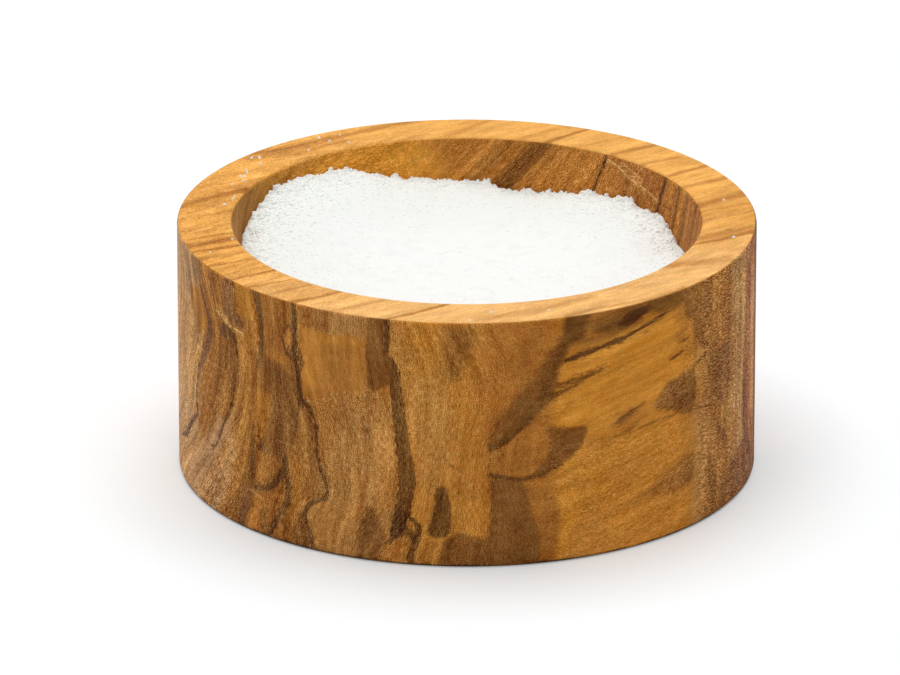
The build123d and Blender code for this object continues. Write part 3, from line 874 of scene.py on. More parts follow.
fine_lines(wall, [
    ("dark vein", 0.35, 0.12, [(-94.7, 18), (-93.2, 17), (-91.2, 15.7)]),
    ("dark vein", 0.45, 0.15, [(-85.6, 20), (-85.8, 15.2)]),
    ("olive vein", 0.7, 0.35, [(-85.6, 19.5, 0.5), (-82.8, 20.3), (-79.6, 22.4), (-77.4, 24, 0.15)]),
    ("olive vein", 0.6, 0.3, [(-85.8, 15.1, 0.4), (-83.5, 14.9), (-79.6, 14.2), (-75.4, 14.7),
        (-71.4, 16.1, 0.1)]),
    ("black brown", 0.85, 0.4, [(-70.6, 32.9, 0.3), (-67, 33.6, 0.45), (-62, 34.4), (-57, 35.2, 0.35),
        (-53.5, 36, 0.25), (-49, 36.9, 0.15), (-45.6, 37.4, 0.05)]),
    ("dark", 0.7, 0.15, [(-72.8, 29.1, 0.05), (-68.4, 29.6, 0.12), (-66, 29.9, 0.22), (-64, 30.3, 0.15),
        (-61.6, 30.9, 0.03)]),
    ("rust", 0.6, 0.12, [(-69, 30.4, 0.05), (-66, 30.7, 0.15), (-62.4, 31.4, 0.05)]),
    ("olive vein", 0.6, 0.3, [(-73.8, 27.3, 0.5), (-70, 28.3, 0.3), (-67.4, 28.9, 0.05)]),
    ("black brown", 0.7, 0.2, [(-60.4, 21.3, 0.05), (-58.3, 21.9, 0.22), (-55.9, 22.8, 0.12),
        (-53, 23.6, 0.03)]),
    ("rust", 0.7, 0.15, [(-59.6, 20.7, 0.05), (-57.4, 21.2, 0.18), (-54.6, 22, 0.05)]),
    ("black brown", 0.85, 0.2, [(-46.6, 29.3, 0.05), (-44.6, 29.6, 0.2), (-42.8, 29.9, 0.05)]),
    ("black brown", 0.5, 0.15, [(-43, 31.8, 0.08), (-41.6, 31.6, 0.12)]),
    ("olive vein", 0.5, 0.18, [(-54.2, 19.5, 0.05), (-49, 20), (-44, 19.9), (-40, 19.5), (-35.4, 19.2)]),
    ("olive vein", 0.6, 0.25, [(-39.4, 26.8), (-37, 27.4), (-35.6, 27.8)]),
])
fine_lines(wall, [
    ("scratch", 0.85, 0.06, [(-148.6, 33.8), (-147, 33.4), (-145.4, 32.8), (-144, 32.4), (-142, 32.3),
        (-139.8, 32.1)]),
    ("scratch", 0.8, 0.05, [(-147.2, 34.6), (-146.3, 33.8)]),
    ("scratch", 0.8, 0.06, [(-145, 33.6), (-144.5, 33)]),
    ("scratch", 0.35, 0.03, [(-157, 24.7), (-151, 24.5), (-145.4, 24.6)]),
    ("scratch", 0.5, 0.04, [(-137.6, 6.9), (-136.2, 6.6), (-134, 6.1)]),
    ("scratch", 0.3, 0.03, [(-169, 22), (-164, 21.6)]),
    ("scratch", 0.3, 0.03, [(-151, 19.6), (-147, 19.3)]),
    ("scratch", 0.3, 0.03, [(-130, 16.8), (-126, 16.4)]),
])
crisp_patches(wall, [
    ("umber", 0.85, [(-109.8, 41.5), (-105.5, 41.5), (-105.4, 34.6), (-104.5, 32), (-104.3, 29.8),
        (-106, 29.3), (-108.2, 28.1), (-109.5, 28.3), (-109.7, 31)]),
    ("dark", 0.8, dark_spot),
    ("umber", 0.6, [(-74, 22.1), (-70.5, 21.9), (-66.3, 21.8), (-66, 20.9), (-67.4, 18.6), (-69.5, 16.9),
        (-72, 15.7), (-75.2, 14.5), (-78.8, 14), (-76, 15.6), (-73.6, 17.8)]),
    ("umber", 0.6, [(-50.2, 22.3), (-48.4, 24.2), (-46.4, 25.2), (-43.4, 25.8), (-39.4, 26.4),
        (-38.9, 24), (-38.9, 20), (-41, 19.5), (-43.6, 20), (-46, 21), (-48.6, 21.6)]),
    ("plum brown", 0.6, [(-145.9, 41.5), (-142.7, 41.5), (-142.5, 37.8), (-141.6, 35.2), (-139.8, 33.8),
        (-139.9, 32.8), (-143, 33.3), (-145.6, 34.4), (-146.3, 36.4)]),
    ("umber", 0.5, [(-133.4, 29), (-130, 29.6), (-128.4, 28.8), (-125.6, 25.8), (-125, 22),
        (-125.9, 17.6), (-127.8, 14.6), (-131, 14.2), (-132.6, 16.6), (-131.8, 20), (-131.4, 23.5),
        (-132.6, 26)]),
    ("umber", 0.7, [(-85.5, 15.2), (-79.8, 14.2), (-78.4, 12.4), (-77.8, 9.4), (-76, 6), (-75.8, 2),
        (-76.8, -1), (-88.2, -1), (-87.2, 2.4), (-85.8, 6), (-85.3, 10)]),
    ("black brown", 0.7, [(-58.4, 38), (-57, 38.9), (-54.6, 39.4), (-51.6, 39.1), (-52.6, 38.3),
        (-55, 37.5), (-57.4, 37)]),
])

# The fibres carry the veins through the block, so they show mirrored and higher up on the far side
mirror_azimuth = -106.0
far_rise = 9.0


def on_far_side(points):
    """Points of the front of the wall, where their fibres come out on the far side."""
    return [(mirror_azimuth - point[0], point[1] + far_rise, *point[2:]) for point in points]


for layer, rows_of_veins in ((fine_lines, front_veins), (veins, broad_veins)):
    layer(wall, [(*row[:3], on_far_side(row[3])) for row in rows_of_veins])
patches(wall, [
    ("umber", 0.85, 0.6, on_far_side([(-134, 27), (-129, 29), (-125, 24), (-125.6, 17.6), (-128.4, 10),
        (-131, 2), (-134, -6), (-137.5, -10), (-136.6, 2), (-135, 14), (-132.3, 20)])),
    ("russet", 0.8, 0.8, [(14, 41), (19, 41), (20.5, 33), (18.6, 22), (20, 10), (18.5, -1), (13.5, -1),
        (15.5, 12)]),
    ("golden brown", 0.7, 1.2, [(24, 41), (30, 41), (31, 28), (28.6, 14), (30, -1), (24.6, -1),
        (25, 16)]),
    ("umber", 0.8, 0.6, [(-1, 41), (4, 41), (3, 30), (0.5, 22), (2.4, 11), (0.6, -1), (-3, -1),
        (-1.6, 14)]),
    ("umber", 0.7, 0.8, [(63, 41), (70, 41), (73, 32), (71, 24), (66.4, 20), (64, 28)]),
    ("dark", 0.75, 0.5, [(84, 13), (87.5, 14.6), (92, 11), (94, 4), (92.6, -1), (82, -1), (82.6, 6)]),
    ("umber", 0.8, 0.6, [(96, 30.5), (101, 31.5), (107, 35), (111, 38.6), (107.6, 37.6), (101, 33.6),
        (97, 32.6)]),
    ("umber", 0.85, 0.5, [(139, 18), (145, 19), (149.6, 23), (147, 25.4), (141, 24), (138, 21)]),
    ("russet", 0.6, 0.8, [(118, 11), (128, 12), (138, 9.6), (137, 8.2), (127, 9.4), (118.4, 9)]),
])
fine_lines(wall, [
    ("dark vein", 0.8, 0.4, [(20.6, 10), (21.6, 6), (20.8, 2), (21.4, -1)]),
    ("dark vein", 0.8, 0.3, [(14.8, 9.2), (16.2, 5.4), (15.4, -1)]),
    ("olive vein", 0.9, 0.8, [(-1, 12.6), (0.4, 8, 0.9), (-0.8, 3, 0.6), (0, -1, 0.7)]),
    ("plum vein", 0.8, 0.5, [(61.4, 16), (60.6, 11), (58.4, 6), (59.4, -1)]),
    ("dark vein", 0.7, 0.25, [(43, 21), (41.6, 14), (39.4, 8), (40.4, -1)]),
    ("black brown", 0.8, 0.35, [(99, 26, 0.1), (105, 27.4, 0.4), (112, 28.6, 0.3), (121, 30.6, 0.05)]),
    ("black brown", 0.8, 0.4, [(108, 20.4, 0.05), (114, 21.2, 0.35), (124, 23, 0.4), (131, 24.6, 0.05)]),
    ("olive vein", 0.7, 0.3, [(121, 35.2, 0.05), (130, 36.6, 0.35), (140, 37.6, 0.05)]),
    ("black brown", 0.8, 0.25, [(134, 30.6, 0.05), (138, 31.4, 0.25), (143, 31.8, 0.05)]),
    ("olive vein", 0.6, 0.4, [(102, 8, 0.05), (110, 8.8, 0.4), (117, 10, 0.05)]),
    ("olive vein", 0.5, 0.2, [(126, 17, 0.05), (139, 18.4), (150, 19)]),
    ("dark vein", 0.7, 0.4, [(158.6, 41, 0.7), (160, 33), (159, 24), (161.4, 14), (160, -1, 0.5)]),
    ("grey vein", 0.7, 0.4, [(167.4, 41), (169, 30, 0.6), (168, 18), (170.4, 6), (170, -1)]),
])

# Rim
here = rim.members
blotch_size = 9.0
blotch_sway = 8
rim_drift = 0.3
blotch = blotch_sway * value_noise(bowl_points[here], blotch_size, 5)
front_share = smooth_step(-y[here] + rim_drift * x[here] + blotch, 4, 36)[:, None]
back_share = smooth_step(y[here] + rim_drift * x[here] + blotch, 6, 34)[:, None]
tone_layer[here] = tone("rim left", "rim") * (1 - front_share) + tone("rim front", "rim") * front_share
tone_layer[here] = tone_layer[here] * (1 - back_share) + tone("rim back", "rim") * back_share
# Stripes of the rim: share, softness, half width and points
rim_stripes = [
    (0.8, 0.7, 0.8, [(-33.9, 29.2), (-29.2, 31), (-18.8, 37.6), (-7.5, 44.4)]),
    (0.49, 0.9, 1.2, [(-34, 26.8), (-27, 29.6), (-20, 34.6)]),
    (0.35, 1.4, 2.2, [(-43.5, 9), (-34, 15.6)]),
    (0.85, 0.6, 0.8, [(-44.4, 5.4), (-40.4, 9.2), (-34.6, 12.8)]),
    (0.52, 0.35, 0.3, [(-44.4, -0.6), (-36, 3.6)]),
    (0.58, 0.35, 0.3, [(-44.4, -5.8), (-36.4, -2)]),
    (0.64, 0.35, 0.35, [(-43.6, -9.5), (-35.9, -6.2)]),
    (0.91, 0.7, 0.9, [(-43, -12), (-35.3, -8.8)]),
    (0.87, 0.35, 0.5, [(-41.8, -14.8), (-34.3, -11.4)]),
    (0.49, 0.6, 0.5, [(-41, -18), (-33.6, -14)]),
    (0.87, 0.35, 0.3, [(-39.7, -20.9), (-31.5, -17)]),
    (0.87, 0.35, 0.5, [(-36.2, -26.7), (-29, -22.2)]),
    (0.77, 0.35, 0.3, [(-33.2, -29.8), (-26.8, -26.6)]),
    (0.52, 0.35, 0.3, [(-30.4, -33), (-23.6, -28.4)]),
    (0.87, 0.35, 0.5, [(-26.8, -36.3), (-22.4, -33.8), (-18.8, -31.2)]),
    (0.39, 0.35, 0.3, [(-20.4, -39.8), (-12, -34.9)]),
    (0.87, 0.35, 0.4, [(-12.6, -43.4), (-8.6, -41), (-3, -37)]),
    (0.42, 1.0, 0.9, [(2, -43.6), (9, -40.2), (19, -34)]),
    (0.63, 0.6, 0.4, [(15, -42), (18.6, -39.4), (28.4, -34.5), (33, -30)]),
    (0.6, 0.7, 0.8, [(29.4, -21.4), (40.7, -18)]),
    (0.56, 0.6, 0.4, [(31, -20.4), (40.6, -16.4)]),
    (0.56, 0.9, 1.3, [(36, -9), (44, -4.6)]),
    (0.87, 0.35, 0.55, [(34.8, -11.6), (39, -9.3), (44.6, -5.7)]),
    (0.39, 0.35, 0.3, [(36.8, -1), (44.6, 3)]),
    (0.56, 0.6, 0.5, [(36.6, 3), (44, 6.6)]),
    (0.8, 0.8, 1.1, [(36.4, 5.9), (43.5, 10.9)]),
    (0.56, 0.6, 0.5, [(34.2, 13.8), (41, 18.4)]),
    (0.87, 0.35, 0.45, [(32, 19), (37.8, 23.6)]),
    (0.58, 0.35, 0.4, [(27.6, 24.2), (33.8, 27.4)]),
    (0.7, 0.6, 0.5, [(23, 28.6), (30.2, 33.2)]),
    (0.42, 0.6, 0.4, [(18.6, 32.4), (26, 36.8)]),
    (0.87, 0.35, 0.5, [(12.6, 34.1), (19.6, 40.4)]),
    (0.42, 0.7, 0.5, [(9, 36.4), (16.4, 42)]),
    (0.49, 0.9, 0.8, [(-2.9, 37.4), (4, 44.4)]),
]
soft_lines(rim, [("rim stripe", *stripe) for stripe in rim_stripes])
soft_lines(rim, [("black brown", 0.6, 0.2, 0.15, [(40.3, -5.1), (40.7, -4.9)])])

# Inner wall
here = inner.members
# The darker tone on the left of the inner wall is painted shade
inner_ground = [
    (-180, "inner left shade"), (-160, "inner left shade"), (-100, "inner brown"), (-20, "inner red"),
    (48, "inner red"), (62, "inner brown"), (98, "inner brown"), (108, "inner gold"), (132, "inner gold"),
    (148, "inner olive"), (162, "inner left shade"), (180, "inner left shade"),
]
inner_slant = 1.2
lay_ground(inner, inner_ground, degrees[here] + inner_slant * (bowl_height - z[here]))
soft_lines(inner, [
    ("inner brown", 0.6, 1.0, 1.2, [(146, 0), (134, 0.3), (124, 0)]),
    ("inner dark", 0.35, 0.6, 0.3, [(108.4, 0), (104, 3), (100, 6.6)]),
    ("inner dark", 0.35, 0.5, 0.2, [(110.6, 0.5), (106.6, 4)]),
    ("inner dark", 0.4, 0.9, 0.9, [(78, -0.5), (88, 7), (93, 11)]),
    ("inner dark", 0.9, 0.9, 1.5, [(69.6, -0.5), (75.4, 3.6), (81, 7.8), (86, 12)]),
    ("inner dark", 0.25, 0.6, 0.4, [(88, -0.5), (95, 5), (99, 9)]),
    ("inner dark", 0.35, 0.5, 0.3, [(64.6, 0), (70, 4.4), (76, 9)]),
    ("inner dark", 0.3, 0.5, 0.3, [(58.6, 0), (62.6, 5), (66, 10)]),
    ("black brown", 0.75, 0.35, 0.25, [(52.6, 0), (53, 1.7), (55.6, 6.2), (57.4, 9)]),
    ("inner dark", 0.5, 0.7, 0.5, [(44.4, 2.5), (45.7, 6.2), (46.5, 9)]),
    ("black brown", 0.85, 0.4, 0.4, [(30.6, -0.5), (31.1, 1.6), (32.6, 5.8), (33.4, 9)]),
    ("inner gold", 0.5, 0.5, 0.5, [(27.6, 0), (28.6, 9)]),
    ("black brown", 0.6, 0.4, 0.4, [(23.8, -0.5), (24.6, 9)]),
    ("inner gold", 0.5, 0.4, 0.5, [(21.6, 0), (22, 9)]),
    ("black brown", 0.65, 0.5, 0.5, [(18.6, 0), (19.2, 9)]),
    ("black brown", 0.4, 0.4, 0.3, [(14.6, 0), (14.8, 9)]),
    ("black brown", 0.55, 0.5, 0.5, [(10.4, 0), (10.8, 9)]),
    ("inner dark", 0.5, 0.5, 0.4, [(5.4, 0), (5.6, 9)]),
])
fine_lines(inner, [
    ("black brown", 0.9, 0.1, [(52.6, 0, 0.05), (53, 1.7), (54.4, 4), (55.8, 6.6), (57.4, 10)]),
    ("black brown", 0.8, 0.16, [(30.6, 0), (31.1, 1.6), (32.6, 5.8), (33.4, 9)]),
    ("scratch", 0.8, 0.05, [(52.2, 0.8), (48.6, 1.7), (45, 2.7), (39, 3.5), (33.4, 4.4)]),
    ("scratch", 0.55, 0.03, [(47.4, 0.9), (43.6, 1.6), (40, 2.4)]),
    ("scratch", 0.45, 0.03, [(44, 3.2), (38.6, 4.2)]),
])

# Underside
here = foot.members
tone_layer[here] = tone("amber", "foot")
# The rounded outer edge of the underside is painted near black: painted contact shadow where the bowl
# meets the floor
foot_shade_from = outer_radius - 0.9
foot_shade_to = outer_radius - 0.3
foot_edge = smooth_step(ring_radius[here], foot_shade_from, foot_shade_to)[:, None]
tone_layer[here] = tone_layer[here] * (1 - foot_edge) + tone("black brown", "foot") * foot_edge

# Growth rings seen on end grain follow the veins. Each guide is the azimuth of one ring at these
# heights.
guide_heights = [0, 5, 10, 15, 20, 25, 30, 35, 40]
ring_guides = [
    [-219, -212, -203, -197, -190, -186, -183, -182, -182],
    [-198, -191, -182, -175, -171, -168, -165, -165, -167],
    [-177, -171, -162, -157.3, -157, -153.5, -150.6, -154, -158],
    [-163, -156, -150.5, -147, -142.8, -141.2, -142, -144.5, -146],
    [-144, -140.4, -138, -136.6, -135.3, -134.6, -134.3, -134.1, -136],
    [-121.5, -123.2, -118.4, -120.4, -120.8, -124.4, -125.8, -125.8, -126],
    [-110, -106, -103.2, -102, -102.6, -103.2, -103.8, -105.2, -106],
    [-92, -91, -90.5, -90, -89, -87, -86, -88.5, -92],
    [-86, -84, -84, -85, -84.5, -81.5, -79.5, -82, -86],
    [-75, -75, -77.5, -79, -78, -76.5, -75, -75.5, -78],
    [-33, -33.4, -33, -33, -34, -35.5, -38.5, -40.5, -43.5],
    [-27, -26.5, -26.5, -26.3, -26, -26, -26, -26, -26],
    [-13, -13.5, -16.5, -17.3, -17.1, -16.6, -15.9, -15.1, -14.5],
]
ring_offsets = (-1.6, -0.8, 0.0, 0.8, 1.6)
middle = np.array([guide[guide_heights.index(20)] for guide in ring_guides], float)


def ring_at(azimuth, height):
    """The ring at a place on the wall, as its azimuth at mid height, evened out over nearby heights."""
    found = np.zeros(len(azimuth))
    for offset in ring_offsets:
        places = np.array([np.interp(height + offset, guide_heights, guide) for guide in ring_guides])
        for k in range(len(ring_guides) - 1):
            low, high = places[k], places[k + 1]
            between = (azimuth >= low) & (azimuth < high)
            share = (azimuth - low) / (high - low)
            found += np.where(between, middle[k] + share * (middle[k + 1] - middle[k]), 0)
        found += np.where(azimuth < places[0], middle[0] + azimuth - places[0], 0)
        found += np.where(azimuth >= places[-1], middle[-1] + azimuth - places[-1], 0)
    return found / len(ring_offsets)


# The mirrored rings run from the right of the front to the back. There the fibres lie flat in the
# wall and no ring shows, so the change doesn't show either.
mirror_start = -8
back_azimuth = 127
ring_slope = 0.4
side = math.sin(fibre_azimuth) * x - math.cos(fibre_azimuth) * y
ring_layer[:] = side + ring_slope * z
here = wall.members
mirrored = (degrees[here] > mirror_start) & (degrees[here] < back_azimuth)
seen_from = np.where(
    mirrored, mirror_azimuth - degrees[here],
    np.where(degrees[here] >= back_azimuth, degrees[here] - 360, degrees[here]),
)
ring_height_here = np.clip(z[here] - far_rise * mirrored, 0, bowl_height)
ring_layer[here] = ring_at(seen_from, ring_height_here) * wall_scale
# Lean of the inner wall's stripes, by azimuth
stripe_lean = [(20, 0), (31, 0.2), (52, 0.39), (75, 0.83), (110, 1.2), (150, 1.5)]
inner_lean = from_table(stripe_lean, degrees[inner.members])
inner_depth = bowl_height - z[inner.members]
ring_layer[inner.members] = degrees[inner.members] * inner_scale - inner_lean * inner_depth

# By azimuth: how much end grain shows, and how speckled, banded and sanded the wood looks
front_end_grain = [(-95, 1), (-86, 0.85), (-77, 0.35), (-72, 0), (-42, 0), (-36, 0.7), (-28, 1)]
wall_speckle = [
    (-180, 0.75), (-146, 0.65), (-138, 0.4), (-124, 0.42), (-116, 0.48), (-106, 0.45), (-98, 0.32),
    (-84, 0.3), (-74, 0.2), (-70, 0.02), (-44, 0.02), (-36, 0.9), (-5, 1.0), (30, 0.7), (75, 0.4),
    (95, 0.05), (150, 0.05), (170, 0.6),
]
wall_banding = [
    (-180, 1.0), (-146, 0.95), (-126, 0.75), (-120, 0.6), (-104, 0.55), (-92, 0.5), (-74, 0.25),
    (-44, 0.2), (-34, 0.4), (-20, 0.5), (-5, 0.8), (60, 0.7), (100, 0.25), (150, 0.25), (170, 0.9),
]
wall_sanding = [(-180, 0.3), (-150, 0.0), (-44, 0.0), (-36, 0.8), (10, 0.7), (40, 0.0)]
inner_speckle = [(20, 0.5), (60, 0.5), (90, 0.35), (120, 0.25)]
rim_speckle = 0.03
rim_banding = 0.15
left_speckle = 0.17
left_banding = 0.3
right_banding = 0.15

end_grain[:] = smooth_step(np.abs(np.cos(ring_azimuth - fibre_azimuth)), 0.25, 0.6)
end_grain[here] = np.where(
    degrees[here] < 0, from_table(front_end_grain, degrees[here]), end_grain[here],
)
end_grain[rim.members] = 0.0
end_grain[foot.members] = 0.0
usual_speckle = 0.3
speckle[:] = usual_speckle
speckle[here] = from_table(wall_speckle, degrees[here])
banding[here] = from_table(wall_banding, degrees[here])
sanded[here] = from_table(wall_sanding, degrees[here])
rim_left = smooth_step(-x[rim.members], 5, 30)
rim_right = smooth_step(x[rim.members], 15, 35)
speckle[rim.members] = rim_speckle + left_speckle * rim_left
banding[rim.members] = rim_banding + left_banding * rim_left + right_banding * rim_right
speckle[inner.members] = from_table(inner_speckle, degrees[inner.members])
speckles(wall, [
    (0.04, 0.5, [(-124.3, 36.4), (-110.1, 36.4), (-110.1, 27.6), (-117, 27.4), (-120, 25.2),
        (-124, 25.6)]),
    (0.15, 0.4, [(-109.8, 41), (-105.4, 41), (-104.4, 32), (-104.2, 28), (-109.6, 28)]),
    (0.2, 1.0, [(-75, 19), (-40, 19.5), (-38, -1), (-74, -1)]),
    (0.4, 0.6, [(-50.6, 22.4), (-46.5, 25.6), (-39.2, 26.8), (-38.2, 22.8), (-40.9, 20.1),
        (-49.1, 21.4)]),
    (0.4, 0.8, [(-51, 8.5), (-45.6, 10.7), (-39.4, 12.7), (-39.3, 7.8), (-51, 7.2)]),
    (0.3, 0.6, [(-124.6, 41), (-110.2, 41), (-110.2, 36.4), (-124.6, 36.6)]),
    (0.2, 0.8, [(-160, 35), (-155.3, 34.8), (-152.4, 30.5), (-156, 28.2), (-160, 31.5)]),
    (0.15, 0.8, [(-142.2, 40.8), (-136.9, 40.8), (-136.6, 35.4), (-140, 34.8)]),
])

# The tones were seen with a paler look at a slant and with less light low on the wall. Both are
# taken out here.
haze_strength = 1.2
least_kept = 0.65
haze = from_table(slant_haze, np.abs(degrees[here] + 90))[:, None]
fading = from_table(light_down_wall, z[here])[:, None]
for layer in (tone_layer, vein_tone, line_tone):
    cleared = layer[here] - haze_strength * haze / light_on["wall"]
    layer[here] = np.maximum(cleared, layer[here] * least_kept) / fading

# The wood
turned_material, tree, surface_socket = new_material("olive_wood")
place = node(tree, "ShaderNodeTexCoord").outputs["Object"]
height_here = node(tree, "ShaderNodeSeparateXYZ", {0: place}).outputs["Z"]
along_fibre = Vector((
    math.cos(fibre_azimuth) * math.cos(fibre_rise),
    math.sin(fibre_azimuth) * math.cos(fibre_rise),
    math.sin(fibre_rise),
))
across_fibre = Vector((math.sin(fibre_azimuth), -math.cos(fibre_azimuth), 0.0))
over_fibre = along_fibre.cross(across_fibre)
ring_here = attribute(tree, "ring")
end_share = attribute(tree, "end_grain")
dusty = attribute(tree, "speckle")
banded = attribute(tree, "banding")


def fibre_space(length, width):
    """Coordinates for a noise whose cells are length mm along the fibres and width mm across them."""
    parts = []
    for direction, size in ((along_fibre, length), (across_fibre, width), (over_fibre, width)):
        terms = {0: place, 1: direction / (size * MM)}
        dot = node(tree, "ShaderNodeVectorMath", terms, operation="DOT_PRODUCT")
        parts.append(dot.outputs["Value"])
    return node(tree, "ShaderNodeCombineXYZ", dict(enumerate(parts))).outputs[0]


def ring_space(length, width):
    """Coordinates for a noise with cells length mm along the growth rings and width mm across them."""
    across = maths(tree, "MULTIPLY", ring_here, 1 / width)
    along = maths(tree, "MULTIPLY", height_here, 1 / (length * MM))
    return node(tree, "ShaderNodeCombineXYZ", {0: across, 1: along}).outputs[0]


def level_space(length, height):
    """Coordinates for a noise whose cells are length mm round the bowl and height mm tall."""
    terms = {0: place, 1: (1 / (length * MM), 1 / (length * MM), 1 / (height * MM))}
    return node(tree, "ShaderNodeVectorMath", terms, operation="MULTIPLY").outputs[0]


def by_share(share, low, high):
    """A number or socket that is low where share is 0 and high where it is 1."""
    made = node(tree, "ShaderNodeMix", {0: share, 2: low, 3: high})
    return made.outputs[0]


def shade(colour, value, depth):
    """Multiplies a colour by 1 plus depth times how far a noise is from its middle."""
    swing = maths(tree, "MULTIPLY", maths(tree, "SUBTRACT", value, 0.5), depth)
    factor = maths(tree, "MAXIMUM", maths(tree, "ADD", swing, 1.0), 0.25)
    scaled = node(tree, "ShaderNodeVectorMath", {0: colour, 3: factor}, operation="SCALE")
    return scaled.outputs[0]


def lift(colour, value, depth, tint):
    """Adds depth times how far a noise is from its middle, in the even steps that the eye sees."""
    swing = maths(tree, "MULTIPLY", maths(tree, "SUBTRACT", value, 0.5), depth)
    change = node(tree, "ShaderNodeVectorMath", {0: tint, 3: swing}, operation="SCALE").outputs[0]
    return node(tree, "ShaderNodeVectorMath", {0: colour, 1: change}, operation="ADD").outputs[0]


def grain_noise(side_cell, end_cell):
    """Noise that follows the fibres on side grain and the growth rings on end grain. Each cell is
    its length and width in mm and the noise's detail."""
    on_side = noise(tree, fibre_space(*side_cell[:2]), 1.0, side_cell[2])
    on_end = noise(tree, ring_space(*end_cell[:2]), 1.0, end_cell[2])
    return by_share(end_share, on_side, on_end)


strokes = grain_noise((1.6, 0.13, 1.0), (1.0, 0.13, 1.0))
strokes = by_share(attribute(tree, "sanded"), strokes, noise(tree, level_space(0.8, 0.15), 1.0, 1.0))
pores = grain_noise((0.35, 0.12, 1.0), (0.22, 0.12, 1.0))
streaks = grain_noise((14.0, 0.6, 2.0), (8.0, 0.6, 2.0))
bands = grain_noise((30.0, 2.4, 1.0), (16.0, 1.8, 1.0))
mottle = noise(tree, fibre_space(7.0, 2.4), 1.0, 2.0)
blush = noise(tree, fibre_space(2.4, 1.1), 1.0, 2.0)
sanding = noise(tree, level_space(3.0, 0.14), 1.0, 1.0)

colour = shade(attribute(tree, "tone", colour=True), mottle, 0.4)
ragged = grain_noise((4.0, 0.35, 1.0), (1.6, 0.4, 2.0))
ragged = maths(tree, "MULTIPLY", maths(tree, "SUBTRACT", ragged, 0.5), by_share(end_share, 1.7, 0.6))
fringe = maths(tree, "MULTIPLY", maths(tree, "SUBTRACT", strokes, 0.5), 0.8)
vein_near = maths(tree, "ADD", maths(tree, "ADD", attribute(tree, "vein_edge"), ragged), fringe)
vein_cover = maths(tree, "MULTIPLY", ramp(tree, vein_near, 0.25, -0.25), attribute(tree, "vein_depth"))
colour = mix_colour(tree, vein_cover, colour, attribute(tree, "vein_tone", colour=True))
from_middle = maths(tree, "ABSOLUTE", attribute(tree, "line_side"))
from_line = maths(tree, "SUBTRACT", from_middle, attribute(tree, "line_width"))
line_fringe = maths(tree, "ADD", maths(tree, "MULTIPLY", ragged, 0.4), fringe)
from_line = maths(tree, "ADD", from_line, line_fringe)
line_here = maths(tree, "MULTIPLY", ramp(tree, from_line, 0.16, -0.12), attribute(tree, "line_cover"))
colour = mix_colour(tree, line_here, colour, attribute(tree, "line_tone", colour=True))

# The noise is added in steps that look even, so the colour is gamma coded before it and back after it
eye_gamma = 2.2
darkest_wood = (0.05, 0.03, 0.02)
colour = node(tree, "ShaderNodeGamma", {0: colour, 1: 1 / eye_gamma}).outputs[0]
colour = lift(colour, blush, 0.10, (0.45, -0.25, -0.1))
colour = lift(colour, bands, by_share(banded, 0.14, 0.50), (1.0, 0.9, 0.6))
colour = lift(colour, streaks, by_share(banded, 0.14, 0.40), (1.0, 0.95, 0.75))
colour = lift(colour, strokes, by_share(dusty, 0.18, 1.32), (1.0, 0.98, 0.85))
colour = lift(colour, pores, by_share(dusty, 0.20, 1.50), (1.0, 1.0, 0.95))
lines = maths(tree, "ADD", ramp(tree, sanding, 0.58, 0.72), 0.5)
colour = lift(colour, lines, by_share(dusty, 0.02, 0.10), (1.0, 1.0, 0.9))
colour = node(tree, "ShaderNodeVectorMath", {0: colour, 1: darkest_wood}, operation="MAXIMUM").outputs[0]
colour = node(tree, "ShaderNodeGamma", {0: colour, 1: eye_gamma}).outputs[0]

relief = maths(tree, "ADD", maths(tree, "MULTIPLY", strokes, 0.6), maths(tree, "MULTIPLY", sanding, 0.4))
relief_depth = 0.05 * MM
bump = node(tree, "ShaderNodeBump", {"Height": relief, "Strength": 0.3, "Distance": relief_depth})
gloss = ramp(tree, mottle, 0.3, 0.7, 0.55, 0.65)
shader = node(tree, "ShaderNodeBsdfPrincipled", {
    "Base Color": colour, "Roughness": gloss, "Normal": bump.outputs[0], "Specular IOR Level": 0.05,
})
tree.links.new(shader.outputs[0], surface_socket)

bowl = add_object("turned_bowl", bowl_points, bowl_faces, turned_material)
for name, values in (
    ("vein_edge", vein_edge), ("vein_depth", vein_depth),
    ("line_side", line_side), ("line_width", line_width), ("line_cover", line_cover),
    ("ring", ring_layer), ("end_grain", end_grain),
    ("speckle", speckle), ("banding", banding), ("sanded", sanded),
):
    layer = bowl.data.attributes.new(name, "FLOAT", "POINT")
    layer.data.foreach_set("value", values.astype(np.float32))
for name, values in (("tone", tone_layer), ("vein_tone", vein_tone), ("line_tone", line_tone)):
    layer = bowl.data.attributes.new(name, "FLOAT_COLOR", "POINT")
    opaque = np.hstack([values, np.ones((count, 1))])
    layer.data.foreach_set("color", opaque.astype(np.float32).ravel())
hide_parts("bowl")
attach(bowl, "root")

# Salt: azimuth, distance from the axis as a share of the mouth's radius, rise and spread in mm
salt_relief = [
    (145, 0.98, 4.2, 10.0),
    (121, 0.97, 2.0, 6.0),
    (72, 1.00, -1.5, 5.0),
    (45, 0.95, 0.5, 7.0),
    (13, 1.00, -3.0, 4.2),
    (41, 0.36, -1.5, 7.5),
    (98, 0.55, -0.9, 5.0),
    (-10, 0.35, 0.7, 6.0),
    (165, 0.45, 0.6, 8.0),
]


def salt_height(px, py):
    """Height of the salt's surface in mm over points in mm."""
    height = np.full(np.shape(px), bowl_height - salt_below_rim)
    for azimuth, share, rise, spread in salt_relief:
        centre_x = share * mouth_radius * math.cos(math.radians(azimuth))
        centre_y = share * mouth_radius * math.sin(math.radians(azimuth))
        distance_squared = (px - centre_x) ** 2 + (py - centre_y) ** 2
        height = height + rise * np.exp(-distance_squared / (2 * spread**2))
    return height


def wall_radius_at(height):
    """The inner wall's radius at a height."""
    return mouth_radius - (bowl_height - height) * math.tan(wall_lean)


